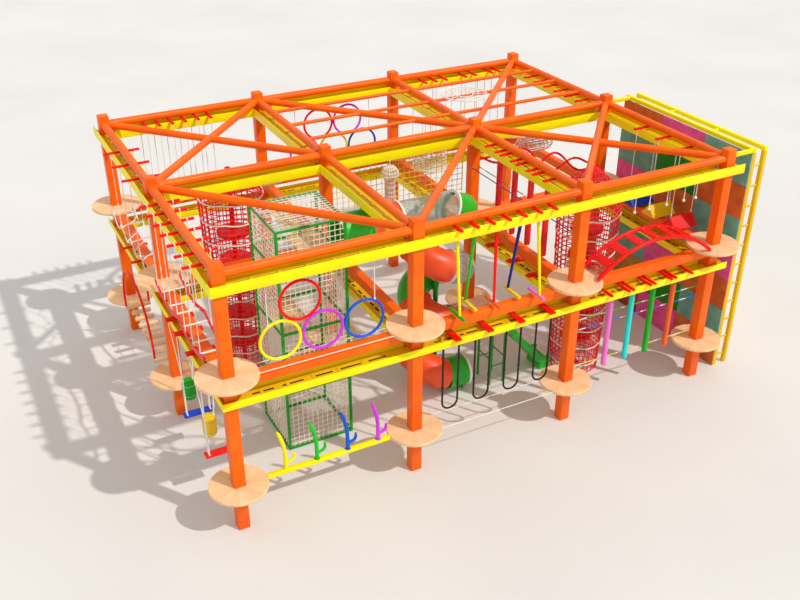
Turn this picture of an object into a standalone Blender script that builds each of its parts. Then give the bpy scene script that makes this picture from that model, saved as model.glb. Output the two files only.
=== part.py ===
"""Two-storey indoor rope course on a grid of square posts, with a climbing wall at one end."""
import math

import bmesh
import bpy
from mathutils import Matrix, Vector
from mathutils.bvhtree import BVHTree

COLLECTION = "rope_course"
CUTTERS = "rope_course_cutters"

# Running clearance between neighbouring pieces
GAP = 0.0003

# How far two pieces of one weldment run into each other
WELD = 0.006

# Faces of one weldment that turn less than this, in degrees, are merged
FLAT_ANGLE = 0.2

# Post grid, columns along X and rows along Y, measured between post axes
COLUMNS = 4
ROWS = 3
BAY_X = 4.0
BAY_Y = 4.4
POST_WIDTH = 0.25
POST_TOP = 6.09

# Round roof tubes and the slimmer braces that are coped onto them
ROOF_TUBE_R = 0.09
ROOF_TUBE_Z = 5.86
BRACE_R = 0.085
ROUND_SIDES = 8
JOIST_R = 0.045
JOISTS_PER_BAY = 3

# Box beams under the upper platforms
DECK_BEAM_WIDTH = 0.20
DECK_BEAM_HEIGHT = 0.23

# Wooden platforms, one round each post on both storeys
PLATFORM_R = 0.61
PLATFORM_THICKNESS = 0.075
PLATFORM_SIDES = 12
UPPER_DECK_Z = 3.73
LOWER_DECK_Z = 1.10

# Belay tracks: an H section lying on its side, with a slot along its web
TRACK_HALF = 0.20
TRACK_FLANGE = 0.02
TRACK_WEB = 0.02
TRACK_OVERHANG = 0.38
UPPER_TRACK_TOP = 5.72
UPPER_TRACK_HEIGHT = 0.22
LOWER_TRACK_TOP = 3.22
LOWER_TRACK_HEIGHT = 0.17

# Red crossbars that lie on the track flanges
BAR_THICKNESS = 0.042
BAR_WIDTH = 0.07
BAR_HALF = 0.31
LONG_BAR_HALF = 0.42
PAD_WIDTH = 0.15

# Hanging gear
ROPE_R = 0.010
SHACKLE_R = 0.022
SHACKLE_WIDTH = 0.03

# Hoops that touch each other, hung in the first front bay and the middle rear bay
HOOP_OUTER_R = 0.44
HOOP_TUBE_R = 0.030
HOOP_STEPS = 18
REAR_HOOP_STEPS = 12
HOOP_SIDES = 4
HOOP_LOW_Z = 4.18
HOOP_FIRST_X = 1.10
REAR_HOOP_FIRST_X = 5.25

# Foot loops in the second front bay, lower storey
LOOP_ROPE_R = 0.022
LOOP_HALF = 0.19
LOOP_LOW_Z = 1.33
LOOP_COUNT = 4
LOOP_FIRST_X = 4.87
LOOP_PITCH = 0.79

# Leaning poles with foot bars in the second front bay, upper storey
POLE_R = 0.038
POLE_TIP_R = 0.028
POLE_XS = (4.92, 5.35, 5.85, 6.45, 6.87)
POLE_LEAN = (-0.22, 0.30, -0.05, 0.34, -0.26)
POLE_FOOT_Z = 3.72
FOOT_BAR_HALF = 0.30
FOOT_BAR_R = 0.03

# Hanging logs in the last front bay, lower storey, and red posts in the third column
LOG_R = 0.066
LOG_LOW_Z = 1.17
LOG_COUNT = 4
LOG_FIRST_X = 9.10
LOG_PITCH = 0.62
LOG_HEAD_DROP = 0.16
LOG_BAR_OFFSET = 0.245
BAG_R = 0.072
BAG_LOW_Z = 3.76
BAG_HEAD_DROP = 0.18
BAG_COUNT = 4
BAG_FIRST_Y = 1.25
BAG_PITCH = 0.65
BAG_BAR_OFFSET = 0.21

# Hanging steps at the left end, lower storey
STEP_ROPE_HALF = 0.26
STEP_LOW_Z = 1.12
STEP_YS = (1.10, 1.80, 2.65, 3.30)
BOARD_HALF = 0.34
BOARD_WIDTH = 0.20
BOARD_THICKNESS = 0.05
BARREL_R = 0.155
BARREL_HEIGHT = 0.48

# Triangular prism steps at the right end, upper storey
PRISM_LENGTH = 0.70
PRISM_WIDTH = 0.56
PRISM_HEIGHT = 0.33
PRISM_LOW_Z = 3.70
PRISM_YS = (1.15, 1.93, 2.72)

# Sliding belay lanyards in the last front bay
LANYARD_XS = (9.45, 9.85, 10.35, 10.85, 11.20)
LANYARD_LENGTH = 0.46
LANYARD_BEAD_R = 0.035
TROLLEY_LENGTH = 0.10
TROLLEY_WIDTH = 0.12
TROLLEY_HEIGHT = 0.05

# Balance beam with branch handles, first front bay
BALANCE_WIDTH = 0.11
BALANCE_HEIGHT = 0.09
HANDLE_R = 0.042
HANDLE_XS = (1.02, 1.71, 2.41, 3.12)
HANDLE_HEIGHT = 0.98
HANDLE_LEAN = 0.14
HANDLE_ARM_REACH = 0.19

# Taut ropes
TIGHTROPE_R = 0.009
LOWER_TIGHTROPE_Y = 0.27
UPPER_TIGHTROPE_Y = 0.17
LOG_ROPE_OFFSET = 0.10
LOG_FOOT_ROPE_Z = 1.30
LOG_HAND_ROPE_ZS = (2.29, 2.56)
BAG_HAND_ROPE_Z = 4.85
STRAP_WIDTH = 0.04
STRAP_THICKNESS = 0.02

# Arched bridge in the last front bay, upper storey
ARCH_HALF_WIDTH = 0.30
ARCH_RAIL_R = 0.045
ARCH_RAIL_SIDES = 6
ARCH_RISE = 0.65
ARCH_END_INSET = 0.38
ARCH_SLATS = 7
ARCH_SLAT_WIDTH = 0.20
ARCH_SLAT_THICKNESS = 0.035

# Log bridge with hooped handrails, left end rear bay, lower storey
PLANK_COUNT = 9
PLANK_HALF = 0.24
PLANK_R = 0.06
PLANK_CABLE_X = 0.15
RAIL_X = 0.30
RAIL_R = 0.028
RAIL_RISE = 1.60

# Sagging ladder bridge, left end front bay, upper storey
LADDER_X = 0.27
LADDER_BAND_HEIGHT = 0.10
LADDER_BAND_THICKNESS = 0.03
LADDER_END_Z = 3.90
LADDER_SAG = 0.18
LADDER_STEPS = 8
LADDER_RUNGS = 6
LADDER_RUNG_R = 0.018

# Green net tower
TOWER_X = (1.79, 3.32)
TOWER_Y = (1.84, 3.36)
TOWER_TOP = 5.50
TOWER_TUBE = 0.06
TOWER_DECK = 0.03
TOWER_CORDS = 2
TOWER_NET_ROWS = 4
CORD_R = 0.008
KNOT_OFFSET = 0.4
CONE_CORD_SCALE = 1.3

# Crawl tube from the tower to the spiral slide
TUBE_R = 0.38
TUBE_WALL = 0.02
TUBE_SIDES = 10
CRAWL_Y = 2.30
CRAWL_Z = 4.95
HELIX_X = 6.10
HELIX_R = 0.55
HELIX_TURNS = 3
HELIX_STEPS_PER_TURN = 6
SLIDE_START_X = 5.55
SLIDE_EXIT_Z = 0.45
SLIDE_EXIT_RUN = 0.55
COLUMN_R = 0.06
ARM_THICKNESS = 0.05
ARM_COUNT = 3

# Straight chute with a small stand
CHUTE_Y = 2.20
CHUTE_WIDTH = 0.60
CHUTE_WALL = 0.03
CHUTE_SIDE = 0.18
CHUTE_TOP = (7.60, 1.50)
CHUTE_FOOT = (8.68, 0.20)
CHUTE_LANDING = 0.30
CHUTE_STAND = 0.45
CHUTE_LEG = 0.05

# Round net towers: axis, radius at the floor and at the top ring
LEFT_TOWER = (2.06, 5.60)
RIGHT_TOWER = (9.70, 1.85)
NET_TOWER_LOW_R = 0.60
NET_TOWER_TOP_R = 0.76
NET_TOWER_RING_TOP = 4.85
NET_TOWER_APEX = 5.50
NET_TOWER_CORDS = 6
NET_TOWER_RINGS = 3
NET_HUB_R = 0.07
NET_HUB_HEIGHT = 0.10
END_RING_EVERY = 3
CREAM_RING_R = 0.022

# Red drums on a pole inside each round net tower
DRUM_R = 0.40
DRUM_HEIGHT = 0.12
DRUM_POLE_R = 0.06
DRUM_COUNT = 5
DRUM_FIRST_Z = 0.80
DRUM_PITCH = 0.75

# Round net basket in the third column, rear bay
BASKET_Y = 6.60
BASKET_R = 0.48
BASKET_LOW_Z = 4.05
BASKET_HIGH_Z = 4.45
BASKET_TAPER = 0.92
NET_BASKET_CORDS = 5

# Rear safety net panels
CURTAIN_LOW_Z = 3.77
CURTAIN_PITCH = 0.72

# Rope and plank bridges of the rear bays, hung from the long crossbars
HUNG_PLANK_Z = 3.78
HUNG_PLANK_THICKNESS = 0.04
HUNG_PLANK_WIDTH = 0.14
HUNG_CABLE_Y = 0.28

# Wave rails in the middle row, last bay
WAVE_R = 0.03
WAVE_HEIGHT = 0.32
WAVE_HIGH_Z = 5.05
WAVE_LOW_Z = 4.15
WAVE_STEPS = 12

# Climbing wall beyond the last column
WALL_X = 1.24
WALL_DEPTH = 0.44
WALL_LENGTH = 4.55
WALL_TOP = 5.92
WALL_TUBE = 0.10
WALL_RUNG_PITCH = 0.52
WALL_BOARD_THICKNESS = 0.04
WALL_BOARDS_ALONG = 4
WALL_BOARDS_UP = 5

# Colours of the real finishes, as linear red, green and blue
ORANGE = (1.0, 0.156, 0.0)
YELLOW = (1.0, 0.85, 0.0)
RED = (0.75, 0.0, 0.0)
PINE = (0.87, 0.55, 0.28)
GREEN = (0.02, 0.30, 0.02)
CREAM = (0.84, 0.77, 0.60)
NET_RED = (0.55, 0.0, 0.01)
BLUE = (0.02, 0.08, 0.65)
NAVY = (0.02, 0.03, 0.20)
MAGENTA = (0.70, 0.07, 0.75)
PINK = (0.87, 0.16, 0.63)
CYAN = (0.02, 0.74, 0.69)
LEAF = (0.0, 0.45, 0.01)
DARK = (0.03, 0.01, 0.01)
RUST = (0.45, 0.08, 0.01)

# Derived levels and extents
LONG_EXTENT = (COLUMNS - 1) * BAY_X
DEEP_EXTENT = (ROWS - 1) * BAY_Y
X_SHIFT = -(LONG_EXTENT + WALL_X - PLATFORM_R) / 2
Y_SHIFT = -DEEP_EXTENT / 2
POST_FACE = POST_WIDTH / 2 + GAP
UPPER_WEB_Z = UPPER_TRACK_TOP - UPPER_TRACK_HEIGHT / 2
LOWER_WEB_Z = LOWER_TRACK_TOP - LOWER_TRACK_HEIGHT / 2
HELIX_Y = CRAWL_Y + HELIX_R
HELIX_PITCH = (CRAWL_Z - SLIDE_EXIT_Z) / HELIX_TURNS
BAG_X = 2 * BAY_X


def column_x(index):
    return index * BAY_X


def row_y(index):
    return index * BAY_Y


def clear_scene():
    for item in list(bpy.data.objects):
        bpy.data.objects.remove(item, do_unlink=True)


def make_collection(name):
    collection = bpy.data.collections.new(name)
    bpy.context.scene.collection.children.link(collection)
    return collection


def make_material(name, colour, roughness, metallic):
    material = bpy.data.materials.new(name)
    material.use_nodes = True
    shader = material.node_tree.nodes["Principled BSDF"]
    shader.inputs["Base Color"].default_value = (*colour, 1.0)
    shader.inputs["Roughness"].default_value = roughness
    shader.inputs["Metallic"].default_value = metallic
    return material


def take_first_shell(bm):
    """Move the first closed shell of a bmesh into a bmesh of its own."""
    bm.faces.ensure_lookup_table()
    found = {bm.faces[0]}
    edge = [bm.faces[0]]
    while edge:
        face = edge.pop()
        for loop_edge in face.edges:
            for other in loop_edge.link_faces:
                if other not in found:
                    found.add(other)
                    edge.append(other)
    keep = {face.index for face in found}
    shell = bm.copy()
    shell.faces.ensure_lookup_table()
    outside = [face for face in shell.faces if face.index not in keep]
    bmesh.ops.delete(shell, geom=outside, context="FACES")
    bmesh.ops.delete(bm, geom=list(found), context="FACES")
    return shell


class Course:
    """Collects the finished objects under one empty at the first post's foot."""

    def __init__(self):
        self.parts = make_collection(COLLECTION)
        self.cutters = make_collection(CUTTERS)
        self.origin = bpy.data.objects.new("course_origin", None)
        self.origin.location = (X_SHIFT, Y_SHIFT, 0.0)
        self.parts.objects.link(self.origin)

    def link(self, name, bm, collection, location=(0.0, 0.0, 0.0)):
        mesh = bpy.data.meshes.new(name)
        bm.to_mesh(mesh)
        bm.free()
        item = bpy.data.objects.new(name, mesh)
        collection.objects.link(item)
        item.parent = self.origin
        item.location = location
        return item

    def cutter(self, name, bm, location=(0.0, 0.0, 0.0)):
        """A hidden shape for a Boolean, in grid coordinates."""
        bmesh.ops.recalc_face_normals(bm, faces=bm.faces)
        item = self.link(name, bm, self.cutters, location)
        item.hide_render = True
        item.display_type = "WIRE"
        return item

    def add(self, name, bm, colour, roughness=0.4, pivot=(0.0, 0.0, 0.0), copes=()):
        """Turn a bmesh drawn in grid coordinates into one welded body whose origin is its pivot."""
        bmesh.ops.translate(bm, verts=bm.verts, vec=-Vector(pivot))
        bmesh.ops.recalc_face_normals(bm, faces=bm.faces)
        seed = take_first_shell(bm)
        joined = len(bm.faces) > 0
        if joined:
            item = self.link(name, bm, self.parts, pivot)
            weld = item.modifiers.new("weld", "BOOLEAN")
            weld.operation = "UNION"
            weld.solver = "EXACT"
            weld.use_self = True
            weld.object = self.cutter(name + "_seed", seed, pivot)
        else:
            bm.free()
            item = self.link(name, seed, self.parts, pivot)
        for cope in copes:
            cut = item.modifiers.new(cope.name, "BOOLEAN")
            cut.operation = "DIFFERENCE"
            cut.solver = "EXACT"
            cut.object = cope
        if joined or copes:
            flats = item.modifiers.new("merge_flats", "DECIMATE")
            flats.decimate_type = "DISSOLVE"
            flats.angle_limit = math.radians(FLAT_ANGLE)
        item.data.shade_smooth()
        item.data.set_sharp_from_angle(angle=math.radians(40))
        item.data.materials.append(make_material(name, colour, roughness, 0.0))
        return item


def box(bm, low, high):
    size = [b - a for a, b in zip(low, high)]
    centre = [(a + b) / 2 for a, b in zip(low, high)]
    matrix = Matrix.Translation(centre) @ Matrix.Diagonal((*size, 1.0))
    return bmesh.ops.create_cube(bm, size=1.0, matrix=matrix)["verts"]


def frame_along(start, end, up=(0.0, 0.0, 1.0)):
    """Rotation whose Z runs from start to end and whose X is level where it can be."""
    run = (Vector(end) - Vector(start)).normalized()
    side = run.cross(Vector(up))
    if side.length < 1e-6:
        side = Vector((1.0, 0.0, 0.0))
    side.normalize()
    top = run.cross(side)
    return Matrix((side, top, run)).transposed().to_4x4()


def beam(bm, start, end, width, height):
    """A rectangular bar from start to end, width measured level and height square to it."""
    start, end = Vector(start), Vector(end)
    size = Matrix.Diagonal((width, height, (end - start).length, 1.0))
    matrix = Matrix.Translation((start + end) / 2) @ frame_along(start, end) @ size
    bmesh.ops.create_cube(bm, size=1.0, matrix=matrix)


def rod(bm, start, end, radius, sides=ROUND_SIDES, end_radius=None):
    """A round or many-sided rod with closed ends."""
    start, end = Vector(start), Vector(end)
    matrix = Matrix.Translation((start + end) / 2) @ frame_along(start, end)
    bmesh.ops.create_cone(bm, cap_ends=True, cap_tris=False, segments=sides, radius1=radius,
                          radius2=radius if end_radius is None else end_radius,
                          depth=(end - start).length, matrix=matrix)


def rope(bm, start, end, radius=ROPE_R):
    rod(bm, start, end, radius, sides=4)


def shackle(bm, tip, axis):
    """A delta shackle whose upper edge is the swing axis, just under what holds it."""
    axis = Vector(axis)
    up = Vector((0.0, 0.0, 1.0))
    turn = Matrix((up.cross(axis), up, axis)).transposed().to_4x4()
    place = Matrix.Translation(Vector(tip) - up * SHACKLE_R)
    bmesh.ops.create_cone(bm, cap_ends=True, cap_tris=False, segments=3, radius1=SHACKLE_R,
                          radius2=SHACKLE_R, depth=SHACKLE_WIDTH, matrix=place @ turn)


def swing_rope(bm, tip, foot_z, axis):
    """A shackle at the swing axis and the rope that hangs straight down into what it carries."""
    shackle(bm, tip, axis)
    rope(bm, (tip[0], tip[1], tip[2] - SHACKLE_R), (tip[0], tip[1], foot_z - WELD))


def slanted_swing_rope(bm, tip, seat, axis):
    """A shackle and a rope that runs aslant down into what it carries."""
    shackle(bm, tip, axis)
    rope(bm, (tip[0], tip[1], tip[2] - SHACKLE_R), (seat[0], seat[1], seat[2] - 2 * WELD))


def sweep_rings(points, radius, sides):
    """Rings of points along a path, each square to the mean of the runs that it joins."""
    points = [Vector(p) for p in points]
    runs = [(b - a).normalized() for a, b in zip(points, points[1:])]
    tangents = [runs[0]] + [(a + b).normalized() for a, b in zip(runs, runs[1:])] + [runs[-1]]
    side = frame_along(points[0], points[1]).to_3x3() @ Vector((1.0, 0.0, 0.0))
    rings = []
    for index, (point, tangent) in enumerate(zip(points, tangents)):
        side = (side - tangent * side.dot(tangent)).normalized()
        top = tangent.cross(side)
        inside = 0 < index < len(points) - 1
        bend = (runs[index] - runs[index - 1]).normalized() if inside else Vector()
        stretch = 1.0 / max(0.5, tangent.dot(runs[index])) - 1.0 if inside else 0.0
        ring = []
        for step in range(sides):
            angle = 2 * math.pi * step / sides
            offset = (side * math.cos(angle) + top * math.sin(angle)) * radius
            ring.append(point + offset + bend * (offset.dot(bend) * stretch))
        rings.append(ring)
    return rings


def skin_rings(bm, rings, closed_ends=True):
    """Faces over a list of rings, with or without end caps."""
    made = [[bm.verts.new(point) for point in ring] for ring in rings]
    sides = len(made[0])
    for low, high in zip(made, made[1:]):
        for step in range(sides):
            after = (step + 1) % sides
            bm.faces.new((low[step], low[after], high[after], high[step]))
    if closed_ends:
        bm.faces.new(made[0])
        bm.faces.new(made[-1])
    return made


def tube_along(bm, points, radius, sides):
    """A solid round bar bent along a list of points."""
    skin_rings(bm, sweep_rings(points, radius, sides))


def reach_below(radius, sides):
    """How far a level many-sided bar reaches below its axis."""
    return radius * max(math.sin(2 * math.pi * step / sides) for step in range(sides))


def pipe_shell(bm, points, radius, wall, sides):
    """An open pipe along a path, with square rims."""
    rims = []
    for size in (radius, radius - wall):
        rims.append(skin_rings(bm, sweep_rings(points, size, sides), closed_ends=False))
    for end in (0, -1):
        for step in range(sides):
            after = (step + 1) % sides
            outer, inner = rims[0][end], rims[1][end]
            bm.faces.new((outer[step], outer[after], inner[after], inner[step]))


def torus(bm, place, major, minor, steps, sides):
    """A ring from the torus primitive, set in place by a matrix."""
    bpy.ops.mesh.primitive_torus_add(major_segments=steps, minor_segments=sides,
                                     major_radius=major, minor_radius=minor)
    item = bpy.context.object
    mesh = item.data
    mesh.transform(place)
    bm.from_mesh(mesh)
    bpy.data.objects.remove(item, do_unlink=True)
    bpy.data.meshes.remove(mesh)


def hoop(bm, centre, outer_radius, steps):
    """A round hoop that stands in the XZ plane."""
    place = Matrix.Translation(centre) @ Matrix.Rotation(math.radians(90), 4, "X")
    torus(bm, place, outer_radius - HOOP_TUBE_R, HOOP_TUBE_R, steps, HOOP_SIDES)


def rim_reach(offset):
    """How far a platform's faceted rim reaches along X at a sideways offset from its post."""
    step = 2 * math.pi / PLATFORM_SIDES
    index = 0
    while PLATFORM_R * math.sin(step * (index + 1)) < offset:
        index += 1
    x_a, y_a = PLATFORM_R * math.cos(step * index), PLATFORM_R * math.sin(step * index)
    x_b, y_b = PLATFORM_R * math.cos(step * (index + 1)), PLATFORM_R * math.sin(step * (index + 1))
    return x_a + (offset - y_a) * (x_b - x_a) / (y_b - y_a)


def grid_posts():
    return [(column_x(i), row_y(j)) for i in range(COLUMNS) for j in range(ROWS)]


def grid_runs():
    """Every clear run between two neighbouring posts, as (start, end) points on the axes."""
    runs = []
    for j in range(ROWS):
        for i in range(COLUMNS - 1):
            runs.append(((column_x(i), row_y(j)), (column_x(i + 1), row_y(j))))
    for i in range(COLUMNS):
        for j in range(ROWS - 1):
            runs.append(((column_x(i), row_y(j)), (column_x(i), row_y(j + 1))))
    return runs


def shortened(start, end, cut):
    """The same run in plan with a length cut off at both ends."""
    a, b = Vector((*start, 0.0)), Vector((*end, 0.0))
    step = (b - a).normalized() * cut
    return (a + step).xy, (b - step).xy


def build_portals(course):
    """One welded portal per row: its posts, its roof tube and its lower platforms."""
    half = POST_WIDTH / 2
    for j, name in enumerate(("front_portal", "middle_portal", "rear_portal")):
        bm = bmesh.new()
        y = row_y(j)
        rod(bm, (0.0, y, ROOF_TUBE_Z), (LONG_EXTENT, y, ROOF_TUBE_Z), ROOF_TUBE_R)
        for i in range(COLUMNS):
            x = column_x(i)
            box(bm, (x - half, y - half, 0.0), (x + half, y + half, POST_TOP))
            rod(bm, (x, y, LOWER_DECK_Z - PLATFORM_THICKNESS), (x, y, LOWER_DECK_Z),
                PLATFORM_R, PLATFORM_SIDES)
        if j == 0:
            z = LOWER_DECK_Z - PLATFORM_THICKNESS / 2
            for side in (-1, 1):
                rope(bm, (BAY_X + PLATFORM_R / 2, side * LOWER_TIGHTROPE_Y, z),
                     (2 * BAY_X - PLATFORM_R / 2, side * LOWER_TIGHTROPE_Y, z), TIGHTROPE_R)
        course.add(name, bm, ORANGE, 0.35)


def add_joists(bm):
    """Slim joists across the two right rear bays."""
    for index in range(JOISTS_PER_BAY):
        y = row_y(1) + BAY_Y * (index + 1) / (JOISTS_PER_BAY + 1)
        rod(bm, (column_x(1), y, ROOF_TUBE_Z), (column_x(3), y, ROOF_TUBE_Z), JOIST_R, 6)


# Roof braces from post to post, as (column, row) pairs, in the front and the rear strip
FRONT_BRACES = (((0, 1), (1, 0)), ((2, 1), (1, 0)), ((2, 1), (3, 0)), ((3, 1), (2, 0)))
REAR_BRACES = (((0, 2), (1, 1)), ((0, 1), (1, 2)), ((1, 2), (2, 1)), ((2, 1), (3, 2)))


def build_bracing(course):
    """The roof between two portals: cross tubes, braces and joists, coped to the portal heads."""
    copes = []
    for j in range(ROWS):
        heads = bmesh.new()
        y = row_y(j)
        reach = LONG_EXTENT + POST_WIDTH
        rod(heads, (-POST_WIDTH, y, ROOF_TUBE_Z), (reach, y, ROOF_TUBE_Z), ROOF_TUBE_R + GAP)
        copes.append(course.cutter(f"tube_cope_{j + 1}", heads))
        for i in range(COLUMNS):
            post = bmesh.new()
            x = column_x(i)
            box(post, (x - POST_FACE, y - POST_FACE, ROOF_TUBE_Z - 2 * ROOF_TUBE_R),
                (x + POST_FACE, y + POST_FACE, POST_TOP + ROOF_TUBE_R))
            copes.append(course.cutter(f"post_cope_{j + 1}_{i + 1}", post))
    per_row = COLUMNS + 1
    strips = (("front_bracing", 0, FRONT_BRACES), ("rear_bracing", 1, REAR_BRACES))
    for name, j, braces in strips:
        bm = bmesh.new()
        for i in range(COLUMNS):
            x = column_x(i)
            rod(bm, (x, row_y(j), ROOF_TUBE_Z), (x, row_y(j + 1), ROOF_TUBE_Z), ROOF_TUBE_R)
        for (i_a, j_a), (i_b, j_b) in braces:
            rod(bm, (column_x(i_a), row_y(j_a), ROOF_TUBE_Z), (column_x(i_b), row_y(j_b), ROOF_TUBE_Z),
                BRACE_R)
        if j == 1:
            add_joists(bm)
        course.add(name, bm, ORANGE, 0.35, copes=copes[per_row * j:per_row * (j + 2)])


def build_upper_deck(course):
    """Box beams between the posts, the twelve upper platforms that tie them and two tightropes."""
    bm = bmesh.new()
    top = UPPER_DECK_Z - PLATFORM_THICKNESS + WELD
    z = top - DECK_BEAM_HEIGHT / 2
    for start, end in grid_runs():
        a, b = shortened(start, end, POST_FACE + WELD)
        beam(bm, (*a, z), (*b, z), DECK_BEAM_WIDTH, DECK_BEAM_HEIGHT)
    for x, y in grid_posts():
        platform_mesh(bm, x, y, UPPER_DECK_Z)
    rope_z = UPPER_DECK_Z - PLATFORM_THICKNESS / 2
    for side in (-1, 1):
        rope(bm, (PLATFORM_R / 2, side * UPPER_TIGHTROPE_Y, rope_z),
             (BAY_X - PLATFORM_R / 2, side * UPPER_TIGHTROPE_Y, rope_z), TIGHTROPE_R)
    course.add("upper_deck", bm, PINE, 0.5)


def rect(spline_set, low, high):
    """One closed rectangle in a flat curve."""
    spline = spline_set.new("POLY")
    spline.points.add(3)
    corners = ((low[0], low[1]), (high[0], low[1]), (high[0], high[1]), (low[0], high[1]))
    for point, (x, y) in zip(spline.points, corners):
        point.co = (x, y, 0.0, 1.0)
    spline.use_cyclic_u = True


def track_web(bm, web_z):
    """The web of every run as one plate, with an opening for each roof cell and each post."""
    curve = bpy.data.curves.new("web", "CURVE")
    curve.dimensions = "2D"
    curve.fill_mode = "BOTH"
    curve.extrude = TRACK_WEB / 2
    edge = TRACK_HALF - TRACK_FLANGE / 2
    far_x, far_y = LONG_EXTENT + edge, DEEP_EXTENT + edge
    rect(curve.splines, (-edge, -edge), (far_x, far_y))
    for i in range(COLUMNS - 1):
        for j in range(ROWS - 1):
            rect(curve.splines, (column_x(i) + edge, row_y(j) + edge),
                 (column_x(i + 1) - edge, row_y(j + 1) - edge))
    for x, y in grid_posts():
        rect(curve.splines, (x - POST_FACE, y - POST_FACE), (x + POST_FACE, y + POST_FACE))
    helper = bpy.data.objects.new("web", curve)
    mesh = bpy.data.meshes.new_from_object(helper)
    mesh.transform(Matrix.Translation((0.0, 0.0, web_z)))
    bm.from_mesh(mesh)
    bmesh.ops.remove_doubles(bm, verts=bm.verts, dist=GAP / 3)
    bpy.data.objects.remove(helper, do_unlink=True)
    bpy.data.curves.remove(curve)
    bpy.data.meshes.remove(mesh)
    half = TRACK_WEB / 2
    box(bm, (LONG_EXTENT + edge - WELD, -edge, web_z - half),
        (LONG_EXTENT + TRACK_OVERHANG, edge, web_z + half))
    box(bm, (-edge, DEEP_EXTENT + edge - WELD, web_z - half),
        (edge, DEEP_EXTENT + TRACK_OVERHANG, web_z + half))


def wall_ring(bm, low, high, wall, z_low, z_high):
    """A rectangular ring of upright wall round the space from low to high."""
    inner = [(low[0], low[1]), (high[0], low[1]), (high[0], high[1]), (low[0], high[1])]
    outer = [(low[0] - wall, low[1] - wall), (high[0] + wall, low[1] - wall),
             (high[0] + wall, high[1] + wall), (low[0] - wall, high[1] + wall)]
    rings = []
    for (a, b), (c, d) in zip(inner, outer):
        rings.append([bm.verts.new((a, b, z_low)), bm.verts.new((a, b, z_high)),
                      bm.verts.new((c, d, z_high)), bm.verts.new((c, d, z_low))])
    for first, second in zip(rings, rings[1:] + rings[:1]):
        for k in range(4):
            after = (k + 1) % 4
            bm.faces.new((first[k], first[after], second[after], second[k]))


def track_flanges(bm, low, high):
    """A flange wall round each roof cell and one along the outside of the whole grid."""
    edge = TRACK_HALF - TRACK_FLANGE
    wall = TRACK_FLANGE
    for i in range(COLUMNS - 1):
        for j in range(ROWS - 1):
            wall_ring(bm, (column_x(i) + TRACK_HALF, row_y(j) + TRACK_HALF),
                      (column_x(i + 1) - TRACK_HALF, row_y(j + 1) - TRACK_HALF), wall, low, high)
    far_x, far_y = LONG_EXTENT + TRACK_HALF, DEEP_EXTENT + TRACK_HALF
    end_x, end_y = LONG_EXTENT + TRACK_OVERHANG, DEEP_EXTENT + TRACK_OVERHANG
    box(bm, (-TRACK_HALF, -TRACK_HALF, low), (end_x, -edge, high))
    box(bm, (-TRACK_HALF, -edge - wall / 2, low), (-edge, end_y, high))
    box(bm, (edge, DEEP_EXTENT + edge, low), (far_x, far_y, high))
    box(bm, (LONG_EXTENT + edge, edge, low), (far_x, DEEP_EXTENT + edge + wall / 2, high))
    box(bm, (far_x - wall / 2, edge, low), (end_x, TRACK_HALF, high))
    box(bm, (edge, far_y - wall / 2, low), (TRACK_HALF, end_y, high))


def web_foot(web_z):
    """The level just under a track's web, where a swing axis lies."""
    return web_z - TRACK_WEB / 2 - GAP


def hoop_rope_xs(first_x, count_upper):
    """X of each rope that holds a hoop set: outer lower hoops and the tops of upper ones."""
    pitch = 2 * HOOP_OUTER_R + GAP
    left = first_x - HOOP_OUTER_R / 2 - ROPE_R
    right = first_x + 2 * pitch + HOOP_OUTER_R / 2 + ROPE_R
    tops = [first_x + pitch * (0.5 + k) for k in range(count_upper)]
    return left, right, tops


def loop_xs():
    return [LOOP_FIRST_X + LOOP_PITCH * k for k in range(LOOP_COUNT)]


def log_xs():
    return [LOG_FIRST_X + LOG_PITCH * k for k in range(LOG_COUNT)]


def bag_ys():
    return [BAG_FIRST_Y + BAG_PITCH * k for k in range(BAG_COUNT)]


def level_off(bm, z):
    """Bring every corner that lies at a level onto exactly that level, so that faces there can join."""
    for vert in bm.verts:
        if abs(vert.co.z - z) < GAP / 10:
            vert.co.z = z


def build_tracks(course):
    """Both belay tracks with the red bars bolted across them."""
    upper = bmesh.new()
    track_web(upper, UPPER_WEB_Z)
    track_flanges(upper, UPPER_TRACK_TOP - UPPER_TRACK_HEIGHT, UPPER_TRACK_TOP)
    add_upper_bars(upper)
    level_off(upper, UPPER_TRACK_TOP)
    course.add("upper_track", upper, YELLOW, 0.35)
    lower = bmesh.new()
    track_web(lower, LOWER_WEB_Z)
    track_flanges(lower, LOWER_TRACK_TOP - LOWER_TRACK_HEIGHT, LOWER_TRACK_TOP)
    add_lower_bars(lower)
    level_off(lower, LOWER_TRACK_TOP)
    course.add("lower_track", lower, YELLOW, 0.35)


def bar_on_row(bm, x, y, low, half, width):
    """A bar across a track that runs along X."""
    box(bm, (x - width / 2, y - half, low), (x + width / 2, y + half, low + BAR_THICKNESS))


def bar_on_column(bm, x, y, low, half, width):
    """A bar across a track that runs along Y."""
    box(bm, (x - half, y - width / 2, low), (x + half, y + width / 2, low + BAR_THICKNESS))


def spaced(first, pitch, count):
    return [first + pitch * k for k in range(count)]


# Bar positions along their own runs, as the element below each of them needs
FRONT_BARS = spaced(4.85, 0.375, 7)
LADDER_BARS = spaced(0.72, 0.50, 7)
TRAPEZE_BARS = spaced(5.25, 0.90, 3)
REAR_LEFT_BARS = spaced(0.95, 0.33, 6)
REAR_RIGHT_BARS = (8.86, 9.19, 9.52, 10.16, 10.49, 11.04, 11.30)
END_REAR_BARS = spaced(5.15, 0.48, 7)
LOWER_LEFT_REAR_BARS = spaced(5.45, 0.85, 3)
PLANK_PADS = (1.38, 2.20, 3.15)


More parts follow.
